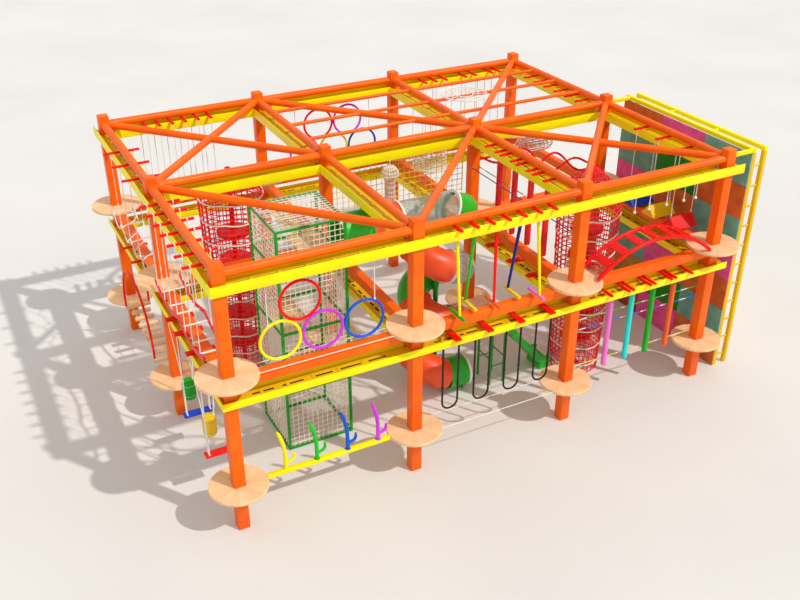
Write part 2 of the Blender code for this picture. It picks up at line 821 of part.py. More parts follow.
def add_upper_bars(bm):
    """Red crossbars that lie across the upper track's flanges."""
    top = UPPER_TRACK_TOP
    for x in FRONT_BARS:
        bar_on_row(bm, x, row_y(0), top, BAR_HALF, BAR_WIDTH)
    for y in TRAPEZE_BARS:
        bar_on_column(bm, column_x(0), y, top, LONG_BAR_HALF, BAR_WIDTH)
    for y in (*PRISM_YS, *END_REAR_BARS):
        bar_on_column(bm, column_x(3), y, top, LONG_BAR_HALF, BAR_WIDTH)
    for y in bag_ys():
        for side in (-1, 1):
            bar_on_column(bm, BAG_X, y + side * BAG_BAR_OFFSET, top, BAR_HALF, BAR_WIDTH)


def add_lower_bars(bm):
    """Red bars and pads that lie across the lower track's flanges."""
    top = LOWER_TRACK_TOP
    for x in loop_xs():
        bar_on_row(bm, x, row_y(0), top, BAR_HALF, PAD_WIDTH)
    for x in log_xs():
        for side in (-1, 1):
            bar_on_row(bm, x + side * LOG_BAR_OFFSET, row_y(0), top, BAR_HALF, BAR_WIDTH)
    for y in STEP_YS:
        bar_on_column(bm, column_x(0), y, top, BAR_HALF, PAD_WIDTH)
    for y in LOWER_LEFT_REAR_BARS:
        bar_on_column(bm, column_x(0), y, top, BAR_HALF, BAR_WIDTH)
    for y in PLANK_PADS:
        bar_on_column(bm, BAG_X, y, top, BAR_HALF, PAD_WIDTH)


def platform_mesh(bm, x, y, top):
    """A round board with a square hole that clears its post."""
    step = 2 * math.pi / PLATFORM_SIDES
    quarter = PLATFORM_SIDES // 4
    corners = ((1, 1), (-1, 1), (-1, -1), (1, -1))
    levels = []
    for z in (top - PLATFORM_THICKNESS, top):
        rim = []
        for k in range(PLATFORM_SIDES):
            angle = step * k
            rim.append(bm.verts.new((x + PLATFORM_R * math.cos(angle), y + PLATFORM_R * math.sin(angle), z)))
        hole = [bm.verts.new((x + a * POST_FACE, y + b * POST_FACE, z)) for a, b in corners]
        for c in range(4):
            for k in range(quarter * c, quarter * (c + 1)):
                bm.faces.new((rim[k], rim[(k + 1) % PLATFORM_SIDES], hole[c]))
            bm.faces.new((rim[quarter * (c + 1) % PLATFORM_SIDES], hole[(c + 1) % 4], hole[c]))
        levels.append((rim, hole))
    for low, high in zip(*levels):
        for k in range(len(low)):
            after = (k + 1) % len(low)
            bm.faces.new((low[k], low[after], high[after], high[k]))


def build_balance_beam(course):
    """The beam between two lower platforms with four branch handles standing on it."""
    bm = bmesh.new()
    top = LOWER_DECK_Z
    box(bm, (PLATFORM_R + GAP, -BALANCE_WIDTH / 2, top - BALANCE_HEIGHT),
        (BAY_X - PLATFORM_R - GAP, BALANCE_WIDTH / 2, top))
    for x in HANDLE_XS:
        stem = [(x, 0.0, top - 2 * WELD)]
        for t in (0.30, 0.55, 0.80, 1.0):
            stem.append((x - HANDLE_LEAN * ((t - 0.3) / 0.7) ** 2, 0.0, top + HANDLE_HEIGHT * t))
        tube_along(bm, stem, HANDLE_R, 6)
        low = top + HANDLE_HEIGHT * 0.14
        reach = HANDLE_R + HANDLE_ARM_REACH * 0.75
        arm = [(x, 0.0, low), (x + HANDLE_R * 2, 0.0, low + HANDLE_R), (x + reach, 0.0, low + HANDLE_R * 3.2),
               (x + reach, 0.0, low + HANDLE_HEIGHT * 0.34)]
        tube_along(bm, arm, HANDLE_R * 0.8, 6)
    course.add("balance_beam", bm, YELLOW, 0.4)


def build_guide_ropes(course):
    """Taut ropes between two posts, held at each end by a flat strap on the post."""
    z_a, z_b = LOG_FOOT_ROPE_Z - STRAP_WIDTH, LOG_HAND_ROPE_ZS[-1] + STRAP_WIDTH
    half = STRAP_WIDTH / 2
    bm = bmesh.new()
    x_a, x_b = 2 * BAY_X + POST_FACE, 3 * BAY_X - POST_FACE
    for z in (LOG_FOOT_ROPE_Z, *LOG_HAND_ROPE_ZS):
        rope(bm, (x_a + STRAP_THICKNESS / 2, LOG_ROPE_OFFSET, z),
             (x_b - STRAP_THICKNESS / 2, LOG_ROPE_OFFSET, z), TIGHTROPE_R)
    for low, high in ((x_a, x_a + STRAP_THICKNESS), (x_b - STRAP_THICKNESS, x_b)):
        box(bm, (low, LOG_ROPE_OFFSET - half, z_a), (high, LOG_ROPE_OFFSET + half, z_b))
    course.add("log_ropes", bm, CREAM, 0.8)
    bm = bmesh.new()
    y_a, y_b = POST_FACE, BAY_Y - POST_FACE
    for side in (-1, 1):
        x = BAG_X + side * LOG_ROPE_OFFSET
        rope(bm, (x, y_a + STRAP_THICKNESS / 2, BAG_HAND_ROPE_Z),
             (x, y_b - STRAP_THICKNESS / 2, BAG_HAND_ROPE_Z), TIGHTROPE_R)
    reach = LOG_ROPE_OFFSET + STRAP_WIDTH / 2
    for low, high in ((y_a, y_a + STRAP_THICKNESS), (y_b - STRAP_THICKNESS, y_b)):
        box(bm, (BAG_X - reach, low, BAG_HAND_ROPE_Z - half), (BAG_X + reach, high, BAG_HAND_ROPE_Z + half))
    course.add("hand_ropes", bm, NAVY, 0.8)


def arc_points(half_chord, rise, count):
    """Points of a circular arc over a chord centred on zero, as (along, height)."""
    radius = (half_chord ** 2 + rise ** 2) / (2 * rise)
    reach = math.asin(half_chord / radius)
    if rise > half_chord:
        reach = math.pi - reach
    angles = [reach * (2 * k / (count - 1) - 1) for k in range(count)]
    return [(radius * math.sin(a), radius * math.cos(a) - radius + rise) for a in angles]


def build_arch_bridge(course):
    """Two bent rails that stand on the platforms, and slats held between them."""
    bm = bmesh.new()
    centre = 2.5 * BAY_X
    half = BAY_X / 2 - ARCH_END_INSET
    arc = arc_points(half, ARCH_RISE, 2 * ARCH_SLATS + 3)
    first = Vector((arc[1][0] - arc[0][0], arc[1][1] - arc[0][1]))
    base = UPPER_DECK_Z + GAP + reach_below(ARCH_RAIL_R, ARCH_RAIL_SIDES) * first.x / first.length
    for side in (-1, 1):
        y = side * ARCH_HALF_WIDTH
        rail = [(centre + along, y, base + height) for along, height in arc]
        tube_along(bm, rail, ARCH_RAIL_R, ARCH_RAIL_SIDES)
    reach = ARCH_HALF_WIDTH
    for index in range(ARCH_SLATS):
        before, middle, after = arc[2 * index + 1], arc[2 * index + 2], arc[2 * index + 3]
        run = Vector((after[0] - before[0], 0.0, after[1] - before[1])).normalized() * (ARCH_SLAT_WIDTH / 2)
        point = Vector((centre + middle[0], 0.0, base + middle[1]))
        beam(bm, point - run, point + run, 2 * reach, ARCH_SLAT_THICKNESS)
    course.add("arch_bridge", bm, RED, 0.35)


def build_plank_bridge(course):
    """Cross logs on two cables between two lower platforms, with a hooped rail each side."""
    bm = bmesh.new()
    start = row_y(1) + PLATFORM_R
    end = row_y(2) - PLATFORM_R
    cable_z = LOWER_DECK_Z - PLATFORM_THICKNESS / 2
    pitch = (end - start) / PLANK_COUNT
    z = cable_z + PLANK_R * 0.8
    ys = [start + pitch * (index + 0.5) for index in range(PLANK_COUNT)]
    for y in ys:
        half = RAIL_X + RAIL_R + WELD if y in (ys[0], ys[-1]) else PLANK_HALF
        rod(bm, (-half, y, z), (half, y, z), PLANK_R, 6)
    for side in (-1, 1):
        x = side * PLANK_CABLE_X
        reach = rim_reach(PLANK_CABLE_X - ROPE_R) + GAP
        rope(bm, (x, row_y(1) + reach, cable_z), (x, row_y(2) - reach, cable_z))
        x = side * RAIL_X
        middle = (start + end) / 2
        half = middle - ys[0]
        arc = arc_points(half, RAIL_RISE - RAIL_R * 4, 9)
        points = [(x, middle - half, z)]
        points += [(x, middle + along, z + RAIL_R * 4 + height) for along, height in arc]
        points.append((x, middle + half, z))
        tube_along(bm, points, RAIL_R, 6)
    course.add("plank_bridge", bm, PINE, 0.6)


def build_ladder_bridge(course):
    """Ladder of two red bands in two swags with cream rungs, roped to the crossbars."""
    bm = bmesh.new()
    start = PLATFORM_R * 0.75
    end = BAY_Y - PLATFORM_R * 0.75
    pitch = (end - start) / LADDER_STEPS
    half_x, half_z = LADDER_BAND_THICKNESS / 2, LADDER_BAND_HEIGHT / 2

    def height(y):
        return LADDER_END_Z - LADDER_SAG * abs(math.sin(2 * math.pi * (y - start) / (end - start)))

    def chord(y):
        index = min(int((y - start) / pitch), LADDER_STEPS - 1)
        low = start + pitch * index
        slope = (height(low + pitch) - height(low)) / pitch
        return height(low) + slope * (y - low)

    for side in (-1, 1):
        x = side * LADDER_X
        rings = []
        for k in range(LADDER_STEPS + 1):
            y = start + pitch * k
            low, high = height(y) - half_z, height(y) + half_z
            rings.append([Vector((x - half_x, y, low)), Vector((x + half_x, y, low)),
                          Vector((x + half_x, y, high)), Vector((x - half_x, y, high))])
        skin_rings(bm, rings)
        for y in LADDER_BARS:
            level = chord(y)
            rope(bm, (x, y, level + half_z - WELD), (x, y, UPPER_TRACK_TOP + BAR_THICKNESS / 2))
    for y in LADDER_BARS:
        bar_on_column(bm, column_x(0), y, UPPER_TRACK_TOP + GAP, LONG_BAR_HALF, BAR_WIDTH)
    inner = LADDER_X
    for index in range(LADDER_RUNGS):
        y = start + (end - start) * (index + 0.7) / (LADDER_RUNGS + 0.4)
        level = chord(y)
        rod(bm, (-inner, y, level), (inner, y, level), LADDER_RUNG_R, 5)
    course.add("ladder_bridge", bm, RED, 0.5)


def tower_levels():
    """Rail heights of the green tower; the fourth carries the crawl tube."""
    tube = TOWER_TUBE
    crawl = CRAWL_Z - reach_below(TUBE_R, TUBE_SIDES) - GAP - (tube - WELD) / 2
    low = tube / 2
    return [low, low + (crawl - low) / 3, low + 2 * (crawl - low) / 3, crawl, TOWER_TOP - tube / 2]


def build_tower(course):
    """Green square tube frame with its half decks."""
    frame = bmesh.new()
    half = TOWER_TUBE / 2
    for x in TOWER_X:
        for y in TOWER_Y:
            box(frame, (x - half, y - half, 0.0), (x + half, y + half, TOWER_TOP))
    slim = half - WELD / 2
    for z in tower_levels():
        for y in TOWER_Y:
            box(frame, (TOWER_X[0], y - slim, z - slim), (TOWER_X[1], y + slim, z + slim))
        for x in TOWER_X:
            box(frame, (x - slim, TOWER_Y[0], z - slim), (x + slim, TOWER_Y[1], z + slim))
    middle = sum(TOWER_X) / 2
    for index, z in enumerate(tower_levels()[1:-1]):
        x_a, x_b = (TOWER_X[0], middle) if index % 2 else (middle, TOWER_X[1])
        box(frame, (x_a, TOWER_Y[0], z - TOWER_DECK / 2), (x_b, TOWER_Y[1], z + TOWER_DECK / 2))
    course.add("tower_frame", frame, GREEN, 0.4)


def net_panel(bm, origin, across, up, width, height, cells_across, cells_up):
    """Square mesh of straight cords that are knotted where they cross."""
    origin, across, up = Vector(origin), Vector(across), Vector(up)
    depth = across.cross(up) * (CORD_R * KNOT_OFFSET)
    for k in range(cells_across + 1):
        start = origin + across * (CORD_R + (width - 2 * CORD_R) * k / cells_across) + depth
        rope(bm, start, start + up * height, CORD_R)
    for k in range(cells_up + 1):
        start = origin + up * (2 * CORD_R + (height - 4 * CORD_R) * k / cells_up) - depth
        rope(bm, start, start + across * width, CORD_R)


def build_tower_net(course):
    """Cord net wrapped round the tower frame, open on one side where the crawl tube leaves."""
    bm = bmesh.new()
    off = TOWER_TUBE / 2 + GAP + CORD_R / math.sqrt(2)
    x_a, x_b = TOWER_X[0] - off, TOWER_X[1] + off
    y_a, y_b = TOWER_Y[0] - off, TOWER_Y[1] + off
    wide, deep = x_b - x_a, y_b - y_a
    top = TOWER_TOP + GAP + CORD_R
    foot = 3 * CORD_R
    levels = [foot + (top - foot) * k / TOWER_NET_ROWS for k in range(TOWER_NET_ROWS + 1)]
    open_low, open_high = CRAWL_Z - TUBE_R - 4 * CORD_R, CRAWL_Z + TUBE_R + 4 * CORD_R
    square = Matrix.Diagonal((1.0, deep / wide, 1.0, 1.0)) @ Matrix.Rotation(math.pi / 4, 4, "Z")
    for z in levels:
        if open_low < z < open_high:
            tube_along(bm, [(x_b, y_b, z), (x_a, y_b, z), (x_a, y_a, z), (x_b, y_a, z)], CORD_R, 4)
        else:
            place = Matrix.Translation(((x_a + x_b) / 2, (y_a + y_b) / 2, z)) @ square
            torus(bm, place, wide / math.sqrt(2), CORD_R, 4, 4)
    knot = CORD_R * KNOT_OFFSET
    below = max(z for z in levels if z <= open_low)
    for k in range(TOWER_CORDS):
        x = x_a + wide * (k + 0.5) / TOWER_CORDS
        y = y_a + deep * (k + 0.5) / TOWER_CORDS
        for at in ((x, y_a - knot), (x, y_b + knot), (x_a - knot, y)):
            rope(bm, (*at, CORD_R), (*at, top), CORD_R)
        blocked = abs(y - CRAWL_Y) < TUBE_R + 4 * CORD_R
        rope(bm, (x_b + knot, y, CORD_R), (x_b + knot, y, below + CORD_R if blocked else top), CORD_R)
    course.add("tower_net", bm, CREAM, 0.8)


def ring_cord(bm, centre, z, radius, thickness, count):
    """A level many-sided ring whose flats, not its corners, meet the upright cords."""
    turn = Matrix.Rotation(math.pi / count, 4, "Z")
    place = Matrix.Translation((*centre, z)) @ turn
    torus(bm, place, radius / math.cos(math.pi / count), thickness, count, 4)


def cone_cords(bm, centre, head_z, head_r, hub_z, count):
    """Cords that rise from the uprights' heads to a hub."""
    for k in range(count):
        way = Vector((math.cos(2 * math.pi * k / count), math.sin(2 * math.pi * k / count), 0.0))
        head = Vector((*centre, head_z - 2 * CORD_R)) + way * head_r
        rope(bm, head, Vector((*centre, hub_z)) + way * (NET_HUB_R / 3), CORD_R * CONE_CORD_SCALE)


def build_net_tower(course, name, centre):
    """Round net tower: leaning upright cords, ring cords, cream rings and a cone top on a hub."""
    bm = bmesh.new()
    spread = (NET_TOWER_TOP_R - NET_TOWER_LOW_R) / NET_TOWER_RING_TOP

    def radius(z):
        return NET_TOWER_LOW_R + spread * z

    hub_low = NET_TOWER_APEX - NET_HUB_HEIGHT
    rod(bm, (*centre, hub_low), (*centre, NET_TOWER_APEX), NET_HUB_R, NET_TOWER_CORDS)
    for k in range(NET_TOWER_CORDS):
        angle = 2 * math.pi * k / NET_TOWER_CORDS
        way = Vector((math.cos(angle), math.sin(angle), 0.0))
        foot = Vector((*centre, 2 * GAP)) + way * radius(0.0)
        rope(bm, foot, Vector((*centre, NET_TOWER_RING_TOP)) + way * radius(NET_TOWER_RING_TOP), CORD_R)
    cone_cords(bm, centre, NET_TOWER_RING_TOP, radius(NET_TOWER_RING_TOP), hub_low + NET_HUB_HEIGHT / 2,
               NET_TOWER_CORDS)
    for index in range(NET_TOWER_RINGS + 1):
        thickness = CREAM_RING_R if index % END_RING_EVERY else CORD_R
        z = NET_TOWER_RING_TOP * index / NET_TOWER_RINGS
        z = min(max(z, 2 * thickness), NET_TOWER_RING_TOP - 3 * thickness)
        ring_cord(bm, centre, z, radius(z) + CORD_R * KNOT_OFFSET, thickness, NET_TOWER_CORDS)
    course.add(name, bm, NET_RED, 0.8)


def build_net_towers(course):
    """Both round net towers, each with a pole of red drums inside that carries its hub."""
    top = NET_TOWER_APEX - NET_HUB_HEIGHT - GAP
    for side, centre in (("left", LEFT_TOWER), ("right", RIGHT_TOWER)):
        build_net_tower(course, f"net_tower_{side}", centre)
        bm = bmesh.new()
        rod(bm, (*centre, 0.0), (*centre, top), DRUM_POLE_R)
        for k in range(DRUM_COUNT):
            z = DRUM_FIRST_Z + DRUM_PITCH * k
            rod(bm, (*centre, z), (*centre, z + DRUM_HEIGHT), DRUM_R)
        course.add(f"drum_pole_{side}", bm, RED, 0.4)


def build_crawl_tube(course):
    """The straight tube from the tower to the slide."""
    bm = bmesh.new()
    points = [(TOWER_X[1] - TOWER_TUBE / 2, CRAWL_Y, CRAWL_Z), (SLIDE_START_X - GAP, CRAWL_Y, CRAWL_Z)]
    pipe_shell(bm, points, TUBE_R, TUBE_WALL, TUBE_SIDES)
    course.add("crawl_tube", bm, LEAF, 0.35)


def helix_point(turn):
    """A point on the slide's centre line; turn 0 is where it leaves the crawl tube's line."""
    angle = -math.pi / 2 + 2 * math.pi * turn
    return Vector((HELIX_X + HELIX_R * math.cos(angle), HELIX_Y + HELIX_R * math.sin(angle),
                   CRAWL_Z - HELIX_PITCH * turn))


def build_slide(course):
    """Spiral tube slide on a centre column, held to it by arms."""
    bm = bmesh.new()
    steps = HELIX_STEPS_PER_TURN
    points = [Vector((SLIDE_START_X, CRAWL_Y, CRAWL_Z))]
    points += [helix_point(k / steps) for k in range(steps * HELIX_TURNS + 1)]
    points.append(points[-1] + Vector((SLIDE_EXIT_RUN, 0.0, 0.0)))
    pipe_shell(bm, points, TUBE_R, TUBE_WALL, TUBE_SIDES)
    bmesh.ops.recalc_face_normals(bm, faces=bm.faces)
    shell = BVHTree.FromBMesh(bm)
    rod(bm, (HELIX_X, HELIX_Y, 0.0), (HELIX_X, HELIX_Y, CRAWL_Z), COLUMN_R)
    for k in range(ARM_COUNT):
        point = helix_point((k + 0.5) * HELIX_TURNS / ARM_COUNT)
        way = Vector((point.x - HELIX_X, point.y - HELIX_Y, 0.0)).normalized()
        root = Vector((HELIX_X, HELIX_Y, point.z))
        reach = shell.ray_cast(root, way)[3] + TUBE_WALL * 0.6
        beam(bm, root, root + way * reach, ARM_THICKNESS, ARM_THICKNESS)
    course.add("tube_slide", bm, LEAF, 0.35)


def build_chute(course):
    """Straight open chute with its deck, legs and landing."""
    bm = bmesh.new()
    (x_a, z_a), (x_b, z_b) = CHUTE_TOP, CHUTE_FOOT
    half = CHUTE_WIDTH / 2
    wall = CHUTE_WALL
    run = Vector((x_b - x_a, 0.0, z_b - z_a)).normalized()
    lift = Vector((-run.z, 0.0, run.x))
    a, b = Vector((x_a, CHUTE_Y, z_a)), Vector((x_b, CHUTE_Y, z_b))
    beam(bm, a, b + run * wall, CHUTE_WIDTH, wall)
    for side in (-1, 1):
        shift = Vector((0.0, side * half, 0.0)) + lift * (CHUTE_SIDE / 2 - wall)
        beam(bm, a + shift, b + shift, wall, CHUTE_SIDE)
    box(bm, (x_b, CHUTE_Y - half + WELD, 0.0), (x_b + CHUTE_LANDING, CHUTE_Y + half - WELD, z_b))
    box(bm, (x_a - CHUTE_STAND, CHUTE_Y - half - WELD, z_a - wall),
        (x_a + wall, CHUTE_Y + half + WELD, z_a + WELD))
    for x in (x_a - CHUTE_STAND + WELD, x_a - CHUTE_LEG):
        for y in (CHUTE_Y - half, CHUTE_Y + half - CHUTE_LEG):
            box(bm, (x, y, 0.0), (x + CHUTE_LEG, y + CHUTE_LEG, z_a - WELD))
    course.add("chute", bm, LEAF, 0.35)


def build_net_basket(course):
    """Round net basket with a cone top, hung on one rope from the third column's track."""
    bm = bmesh.new()
    centre = (BAG_X, BASKET_Y)
    hub = BASKET_HIGH_Z + BASKET_R
    rod(bm, (*centre, hub - NET_HUB_R / 2), (*centre, hub + NET_HUB_R / 2), NET_HUB_R / 2, NET_BASKET_CORDS)
    rope(bm, (*centre, hub), (*centre, web_foot(UPPER_WEB_Z)), CORD_R)
    head_r = BASKET_R * BASKET_TAPER
    for k in range(NET_BASKET_CORDS):
        angle = 2 * math.pi * k / NET_BASKET_CORDS
        way = Vector((math.cos(angle), math.sin(angle), 0.0))
        rope(bm, Vector((*centre, BASKET_LOW_Z)) + way * BASKET_R,
             Vector((*centre, BASKET_HIGH_Z)) + way * head_r, CORD_R)
    cone_cords(bm, centre, BASKET_HIGH_Z, head_r, hub, NET_BASKET_CORDS)
    for share in (0.0, 1.0):
        z = BASKET_LOW_Z + 3 * CORD_R + (BASKET_HIGH_Z - BASKET_LOW_Z - 6 * CORD_R) * share
        radius = BASKET_R + (head_r - BASKET_R) * share
        ring_cord(bm, centre, z, radius + CORD_R * KNOT_OFFSET, CORD_R, NET_BASKET_CORDS)
    course.add("net_basket", bm, CREAM, 0.8)


def build_curtain(course):
    """Square safety net under the middle track in the second bay."""
    bm = bmesh.new()
    x_a, x_b = column_x(1) + TRACK_HALF, column_x(2) - TRACK_HALF
    high = UPPER_TRACK_TOP - UPPER_TRACK_HEIGHT - GAP
    y = row_y(1) + TRACK_HALF - TRACK_FLANGE / 2
    across = round((x_b - x_a) / CURTAIN_PITCH)
    up = round((high - CURTAIN_LOW_Z) / CURTAIN_PITCH)
    net_panel(bm, (x_a, y, CURTAIN_LOW_Z), (1, 0, 0), (0, 0, 1), x_b - x_a, high - CURTAIN_LOW_Z, across, up)
    course.add("net_curtain", bm, YELLOW, 0.8)


def build_hung_bridges(course):
    """Rear bridges: planks on two cables, each plank also hung from its crossbar by two ropes."""
    reach = LONG_BAR_HALF - BAR_WIDTH / 2
    y = row_y(2)
    for name, bay, xs in (("rear_left_bridge", 0, REAR_LEFT_BARS), ("rear_right_bridge", 2, REAR_RIGHT_BARS)):
        bm = bmesh.new()
        low, high = HUNG_PLANK_Z, HUNG_PLANK_Z + HUNG_PLANK_THICKNESS
        for x in xs:
            box(bm, (x - HUNG_PLANK_WIDTH / 2, y - LONG_BAR_HALF, low),
                (x + HUNG_PLANK_WIDTH / 2, y + LONG_BAR_HALF, high))
            for side in (-1, 1):
                at = y + side * reach
                rope(bm, (x, at, low + WELD), (x, at, UPPER_TRACK_TOP + BAR_THICKNESS / 2))
            bar_on_row(bm, x, y, UPPER_TRACK_TOP + GAP, LONG_BAR_HALF, BAR_WIDTH)
        for side in (-1, 1):
            cable = HUNG_CABLE_Y - ROPE_R
            rim = rim_reach(cable) + GAP
            at = y + side * HUNG_CABLE_Y
            drop = UPPER_DECK_Z - PLATFORM_THICKNESS / 2
            x_a, x_b = column_x(bay) + rim, column_x(bay + 1) - rim
            stub = 2 * ROPE_R
            points = [(x_a, at, drop), (x_a + stub, at, drop), (xs[0], at, low), (xs[-1], at, low),
                      (x_b - stub, at, drop), (x_b, at, drop)]
            tube_along(bm, points, ROPE_R, 4)
        course.add(name, bm, PINE, 0.6)


def build_wave_rails(course):
    """Two wave-shaped rails between the third and fourth posts of the middle row, pinned together."""
    bm = bmesh.new()
    start, end = column_x(2) + POST_FACE, column_x(3) - POST_FACE
    offset = POST_WIDTH / 2 - WAVE_R

    def height(t, shift):
        bulge = WAVE_HEIGHT * math.sin(math.pi * t)
        fall = (WAVE_LOW_Z - WAVE_HIGH_Z) * t
        return WAVE_HIGH_Z + fall + bulge * math.sin(4 * math.pi * t + math.pi * shift)

    for side, shift in ((-1, 0.0), (1, 1.0)):
        y = row_y(1) + side * offset
        points = []
        for k in range(WAVE_STEPS + 1):
            t = k / WAVE_STEPS
            points.append((start + (end - start) * t, y, height(t, shift)))
        points.insert(1, (start + WAVE_R, y, points[0][2]))
        points.insert(-1, (end - WAVE_R, y, points[-1][2]))
        tube_along(bm, points, WAVE_R, 6)
    for t in (0.25, 0.5, 0.75):
        at = (start + (end - start) * t, height(t, 0.0))
        rod(bm, (at[0], row_y(1) - offset, at[1]), (at[0], row_y(1) + offset, at[1]), WAVE_R / 2, 6)
    course.add("wave_rails", bm, RED, 0.35)


def build_wall(course):
    """Climbing wall: twin top rails, lattice end columns, two arms, and its painted boards."""
    frame = bmesh.new()
    tube = WALL_TUBE
    outer_x = LONG_EXTENT + WALL_X - tube
    inner_x = LONG_EXTENT + WALL_X - WALL_DEPTH
    low_y, high_y = 0.0, WALL_LENGTH
    for x in (inner_x, outer_x):
        box(frame, (x, low_y + WELD, WALL_TOP - tube), (x + tube, high_y - WELD, WALL_TOP))
        for y in (low_y, high_y - tube):
            box(frame, (x, y, 0.0), (x + tube, y + tube, WALL_TOP - WELD))
    rungs = int((WALL_TOP - 2 * tube) / WALL_RUNG_PITCH)
    for y in (low_y, high_y - tube):
        for k in range(rungs):
            z = WALL_RUNG_PITCH * (k + 0.5)
            box(frame, (inner_x + tube - WELD, y + tube / 4, z),
                (outer_x + WELD, y + tube * 3 / 4, z + tube / 2))
    for share in (0.33, 0.67):
        y = low_y + (high_y - low_y) * share
        box(frame, (inner_x + tube - WELD, y - tube / 4, WALL_TOP - tube * 3 / 4),
            (outer_x + WELD, y + tube / 4, WALL_TOP - tube / 4))
    for row in range(2):
        y = max(low_y + tube * 0.6, min(row_y(row), high_y - tube * 0.6))
        half = tube * 0.45
        box(frame, (LONG_EXTENT + POST_FACE, y - half, WALL_TOP - 2 * half - WELD),
            (inner_x + WELD, y + half, WALL_TOP - WELD))
    course.add("wall_frame", frame, YELLOW, 0.35)
    boards = bmesh.new()
    along = (high_y - low_y) / WALL_BOARDS_ALONG
    up = (WALL_TOP - tube) / WALL_BOARDS_UP
    x = inner_x - GAP - WALL_BOARD_THICKNESS
    middle = x + WALL_BOARD_THICKNESS / 2
    box(boards, (middle, low_y, 0.0), (inner_x - GAP, high_y, WALL_TOP - tube - WELD))
    for i in range(WALL_BOARDS_ALONG):
        for k in range(WALL_BOARDS_UP):
            box(boards, (x, low_y + along * i + WELD / 2, up * k + WELD / 2),
                (middle + WELD, low_y + along * (i + 1) - WELD / 2, up * (k + 1) - 2 * WELD))
    course.add("wall_boards", boards, RUST, 0.6)


def hoop_set(first_x, y, count_upper):
    """Centres of a touching hoop set and its hanging ropes, as (x, z) and (x, foot level)."""
    pitch = 2 * HOOP_OUTER_R + GAP
    rise = pitch * math.sqrt(3) / 2
    corner = HOOP_OUTER_R * math.sin(math.radians(60))
    left, right, tops = hoop_rope_xs(first_x, count_upper)
    centres = [(first_x + pitch * k, HOOP_LOW_Z) for k in range(3)]
    centres += [(x, HOOP_LOW_Z + rise) for x in tops]
    ropes = [(left, HOOP_LOW_Z + corner), (right, HOOP_LOW_Z + corner)]
    ropes += [(x, HOOP_LOW_Z + rise + HOOP_OUTER_R - HOOP_TUBE_R) for x in tops]
    return centres, ropes


def build_hoops(course):
    """Front hoops touch each other and swing as one set; the rear hoops are lashed together."""
    axis_z = web_foot(UPPER_WEB_Z)
    centres, ropes = hoop_set(HOOP_FIRST_X, row_y(0), 1)
    pivot = (centres[1][0], row_y(0), axis_z)
    kinds = (("hoop_yellow", YELLOW, ropes[0]), ("hoop_magenta", MAGENTA, None), ("hoop_blue", BLUE, ropes[1]),
             ("hoop_red", RED, ropes[2]))
    for (name, colour, held), (x, z) in zip(kinds, centres):
        bm = bmesh.new()
        hoop(bm, (x, row_y(0), z), HOOP_OUTER_R, HOOP_STEPS)
        if held:
            swing_rope(bm, (held[0], row_y(0), axis_z), held[1], (1, 0, 0))
        course.add(name, bm, colour, 0.35, pivot=pivot)
    bm = bmesh.new()
    y = row_y(2)
    centres, ropes = hoop_set(REAR_HOOP_FIRST_X, y, 2)
    for x, z in centres:
        hoop(bm, (x, y, z), HOOP_OUTER_R + WELD, REAR_HOOP_STEPS)
    for x, z in ropes:
        swing_rope(bm, (x, y, axis_z), z, (1, 0, 0))
    course.add("rear_hoops", bm, MAGENTA, 0.35, pivot=(centres[1][0], y, axis_z))


def build_loops(course):
    """Dark foot loops, each one rope bent into a U and hung from two shackles."""
    axis_z = web_foot(LOWER_WEB_Z)
    for index, x in enumerate(loop_xs()):
        bm = bmesh.new()
        top = axis_z - SHACKLE_R
        low = LOOP_LOW_Z + LOOP_HALF
        points = [(x - LOOP_HALF, 0.0, top - LOOP_ROPE_R)]
        for k in range(7):
            angle = math.pi * (1 + k / 6)
            points.append((x + LOOP_HALF * math.cos(angle), 0.0, low + LOOP_HALF * math.sin(angle)))
        points.append((x + LOOP_HALF, 0.0, top - LOOP_ROPE_R))
        tube_along(bm, points, LOOP_ROPE_R, 5)
        for side in (-1, 1):
            tip = (x + side * LOOP_HALF, 0.0, axis_z)
            shackle(bm, tip, (1, 0, 0))
            rope(bm, (tip[0], 0.0, top), (tip[0], 0.0, top - 2 * LOOP_ROPE_R))
        course.add(f"foot_loop_{index + 1}", bm, DARK, 0.7, pivot=(x, 0.0, axis_z))


def build_poles(course):
    """Slim poles that lean across the track, each with a foot bar at its lower end."""
    axis_z = web_foot(UPPER_WEB_Z)
    colours = (YELLOW, LEAF, RED, NAVY, YELLOW)
    for index, (x, lean, colour) in enumerate(zip(POLE_XS, POLE_LEAN, colours)):
        bm = bmesh.new()
        shackle(bm, (x, 0.0, axis_z), (0, 1, 0))
        z = POLE_FOOT_Z + FOOT_BAR_R
        head = (x, 0.0, axis_z - 2 * SHACKLE_R - POLE_R / 2)
        rope(bm, (x, 0.0, axis_z - SHACKLE_R), (x, 0.0, head[2] - POLE_R))
        rod(bm, head, (x, lean, z), POLE_R, 8, POLE_TIP_R)
        middle = lean / 2
        beam(bm, (x, middle - FOOT_BAR_HALF, z), (x, middle + FOOT_BAR_HALF, z),
             2.4 * FOOT_BAR_R, 2 * FOOT_BAR_R)
        course.add(f"swing_pole_{index + 1}", bm, colour, 0.4, pivot=(x, 0.0, axis_z))


def build_logs(course):
    axis_z = web_foot(LOWER_WEB_Z)
    for index, (x, colour) in enumerate(zip(log_xs(), (PINK, CYAN, LEAF, ORANGE))):
        bm = bmesh.new()
        top = axis_z - LOG_HEAD_DROP
        swing_rope(bm, (x, 0.0, axis_z), top, (0, 1, 0))
        rod(bm, (x, 0.0, LOG_LOW_Z), (x, 0.0, top), LOG_R)
        course.add(f"hanging_log_{index + 1}", bm, colour, 0.45, pivot=(x, 0.0, axis_z))


